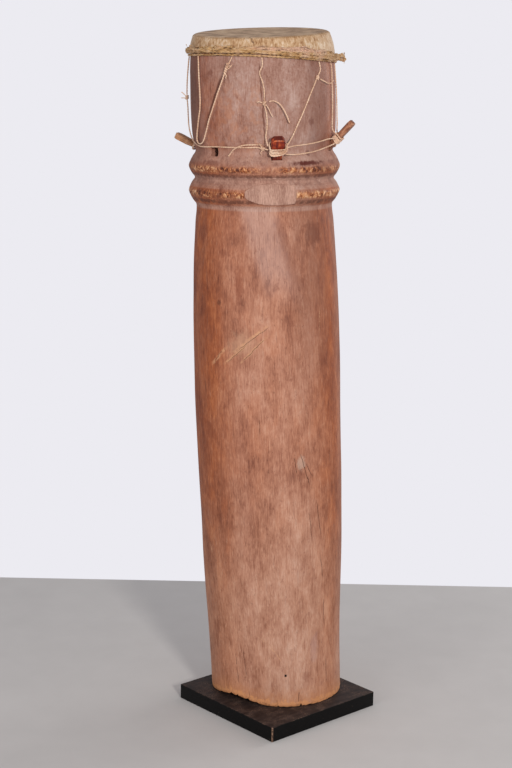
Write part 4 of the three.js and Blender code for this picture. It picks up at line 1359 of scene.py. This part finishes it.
def makePlinthFinish():
    finish = Finish("blackPlinth")
    place = finish.partPlace()
    x, y, height = finish.split(place)
    streak = finish.noise(place, (0.02, 0.12, 0.1), 4.0, 0.6)
    mottle = finish.noise(place, (0.05, 0.05, 0.05), 4.0, 0.6)
    grit = finish.noise(place, (0.5, 0.5, 0.5), 2.0)
    top = height.ease(29.2, 29.8)
    black = finish.ramp(mottle, (0.35, 2, 1, 1), (0.65, 6, 5, 5))
    brown = finish.ramp(streak * 0.6 + mottle * 0.4, (0.35, 36, 27, 25), (0.5, 50, 39, 36),
                        (0.66, 68, 55, 51))
    colour = finish.mix(top, black, brown)
    corner = (abs(x + 140) + abs(y + 140)).ease(3.2, 1.2) * grit.ease(0.42, 0.52)
    edges = height.near(29.6, 1.2) * grit.ease(0.54, 0.62) * mottle.ease(0.45, 0.6)
    colour = finish.tint(colour, (corner * 0.85 + edges * 0.4).capped(), 150, 118, 98)
    specks = finish.noise(place, (0.3, 0.3, 0.3), 1.0).ease(0.72, 0.76) * mottle.ease(0.45, 0.6)
    colour = finish.tint(colour, specks * 0.5, 128, 112, 98)
    normal = finish.bump(streak + grit * 0.3, 0.0004, 0.4)
    rough = 0.46 + mottle * 0.25
    return finish.paint(Base_Color=colour, Roughness=rough, Normal=normal, Specular_IOR_Level=0.16)


def makePlinth():
    bm = bmesh.new()
    bmesh.ops.create_cube(bm, size=1)
    bmesh.ops.scale(bm, vec=(plinth["side"], plinth["side"], plinth["high"]), verts=bm.verts)
    bmesh.ops.translate(bm, vec=(0, 0, plinth["high"] / 2), verts=bm.verts)
    chamferEdges(bm, bm.edges[:], plinth["edge"], 3)
    mesh = finishMesh("plinth_board", bm, plinth["sharp"], Matrix.Scale(0.001, 4))
    addPiece("plinth_board", mesh, makePlinthFinish(), ["plinth"])
    print("plinth made")


makePlinth()
for section in [item for item in bpy.data.objects if item.type == "CURVE"]:
    bpy.data.objects.remove(section)

# Stage: a pale floor and soft light from the front and both sides
studio = dict(
    floorHalf=0.745, turn=-42, floorTone=(206, 204, 202), sky=(236, 235, 241), skyLight=0.5, aim=(0, 0, 0.75),
    lights=dict(
        key=dict(azimuth=-26, distance=4.2, height=1.9, size=0.55, power=100, tint=(1.0, 0.95, 0.9)),
        fill=dict(azimuth=-84, distance=2.8, height=1.3, size=1.4, power=15, tint=(1.0, 0.96, 0.93)),
        rim=dict(azimuth=86, distance=2.6, height=1.6, size=1.4, power=20, tint=(1.0, 0.98, 0.97)),
    ),
)


def makeStage():
    bm = bmesh.new()
    bmesh.ops.create_grid(bm, x_segments=1, y_segments=1, size=studio["floorHalf"])
    turned = Matrix.Rotation(math.radians(studio["turn"]), 3, "Z")
    bmesh.ops.rotate(bm, cent=(0, 0, 0), matrix=turned, verts=bm.verts)
    mesh = bpy.data.meshes.new("pale_floor")
    bm.to_mesh(mesh)
    bm.free()
    finish = Finish("paleFloor")
    mottle = finish.noise(finish.partPlace(), (0.01, 0.01, 0.01), 3.0)
    tone = studio["floorTone"]
    darker = srgb(*(value - 10 for value in tone))
    mesh.materials.append(finish.paint(Base_Color=finish.mix(mottle, darker, srgb(*tone)), Roughness=0.8))
    floor = addObject("pale_floor", mesh)


def addLight(name, azimuth, distance, height, size, power, tint):
    data = bpy.data.lights.new(name, "AREA")
    data.shape = "DISK"
    data.size = size
    data.energy = power
    data.color = tint
    light = addObject(name, data)
    place = Vector((distance * sine(azimuth), -distance * cosine(azimuth), height))
    aim = Vector(studio["aim"]) - place
    light.matrix_world = Matrix.Translation(place) @ aim.to_track_quat("-Z", "Y").to_matrix().to_4x4()


def makeLight():
    world = bpy.data.worlds.new("studioSky")
    bpy.context.scene.world = world
    world.use_nodes = True
    nodes, links = world.node_tree.nodes, world.node_tree.links
    sky = nodes["Background"]
    sky.inputs[0].default_value = srgb(*studio["sky"])
    path = nodes.new("ShaderNodeLightPath")
    level = nodes.new("ShaderNodeMapRange")
    level.inputs[3].default_value = studio["skyLight"]
    links.new(path.outputs["Is Camera Ray"], level.inputs[0])
    links.new(level.outputs[0], sky.inputs[1])
    for name, light in studio["lights"].items():
        addLight(name, **light)


makeStage()
makeLight()
print("stage lit")
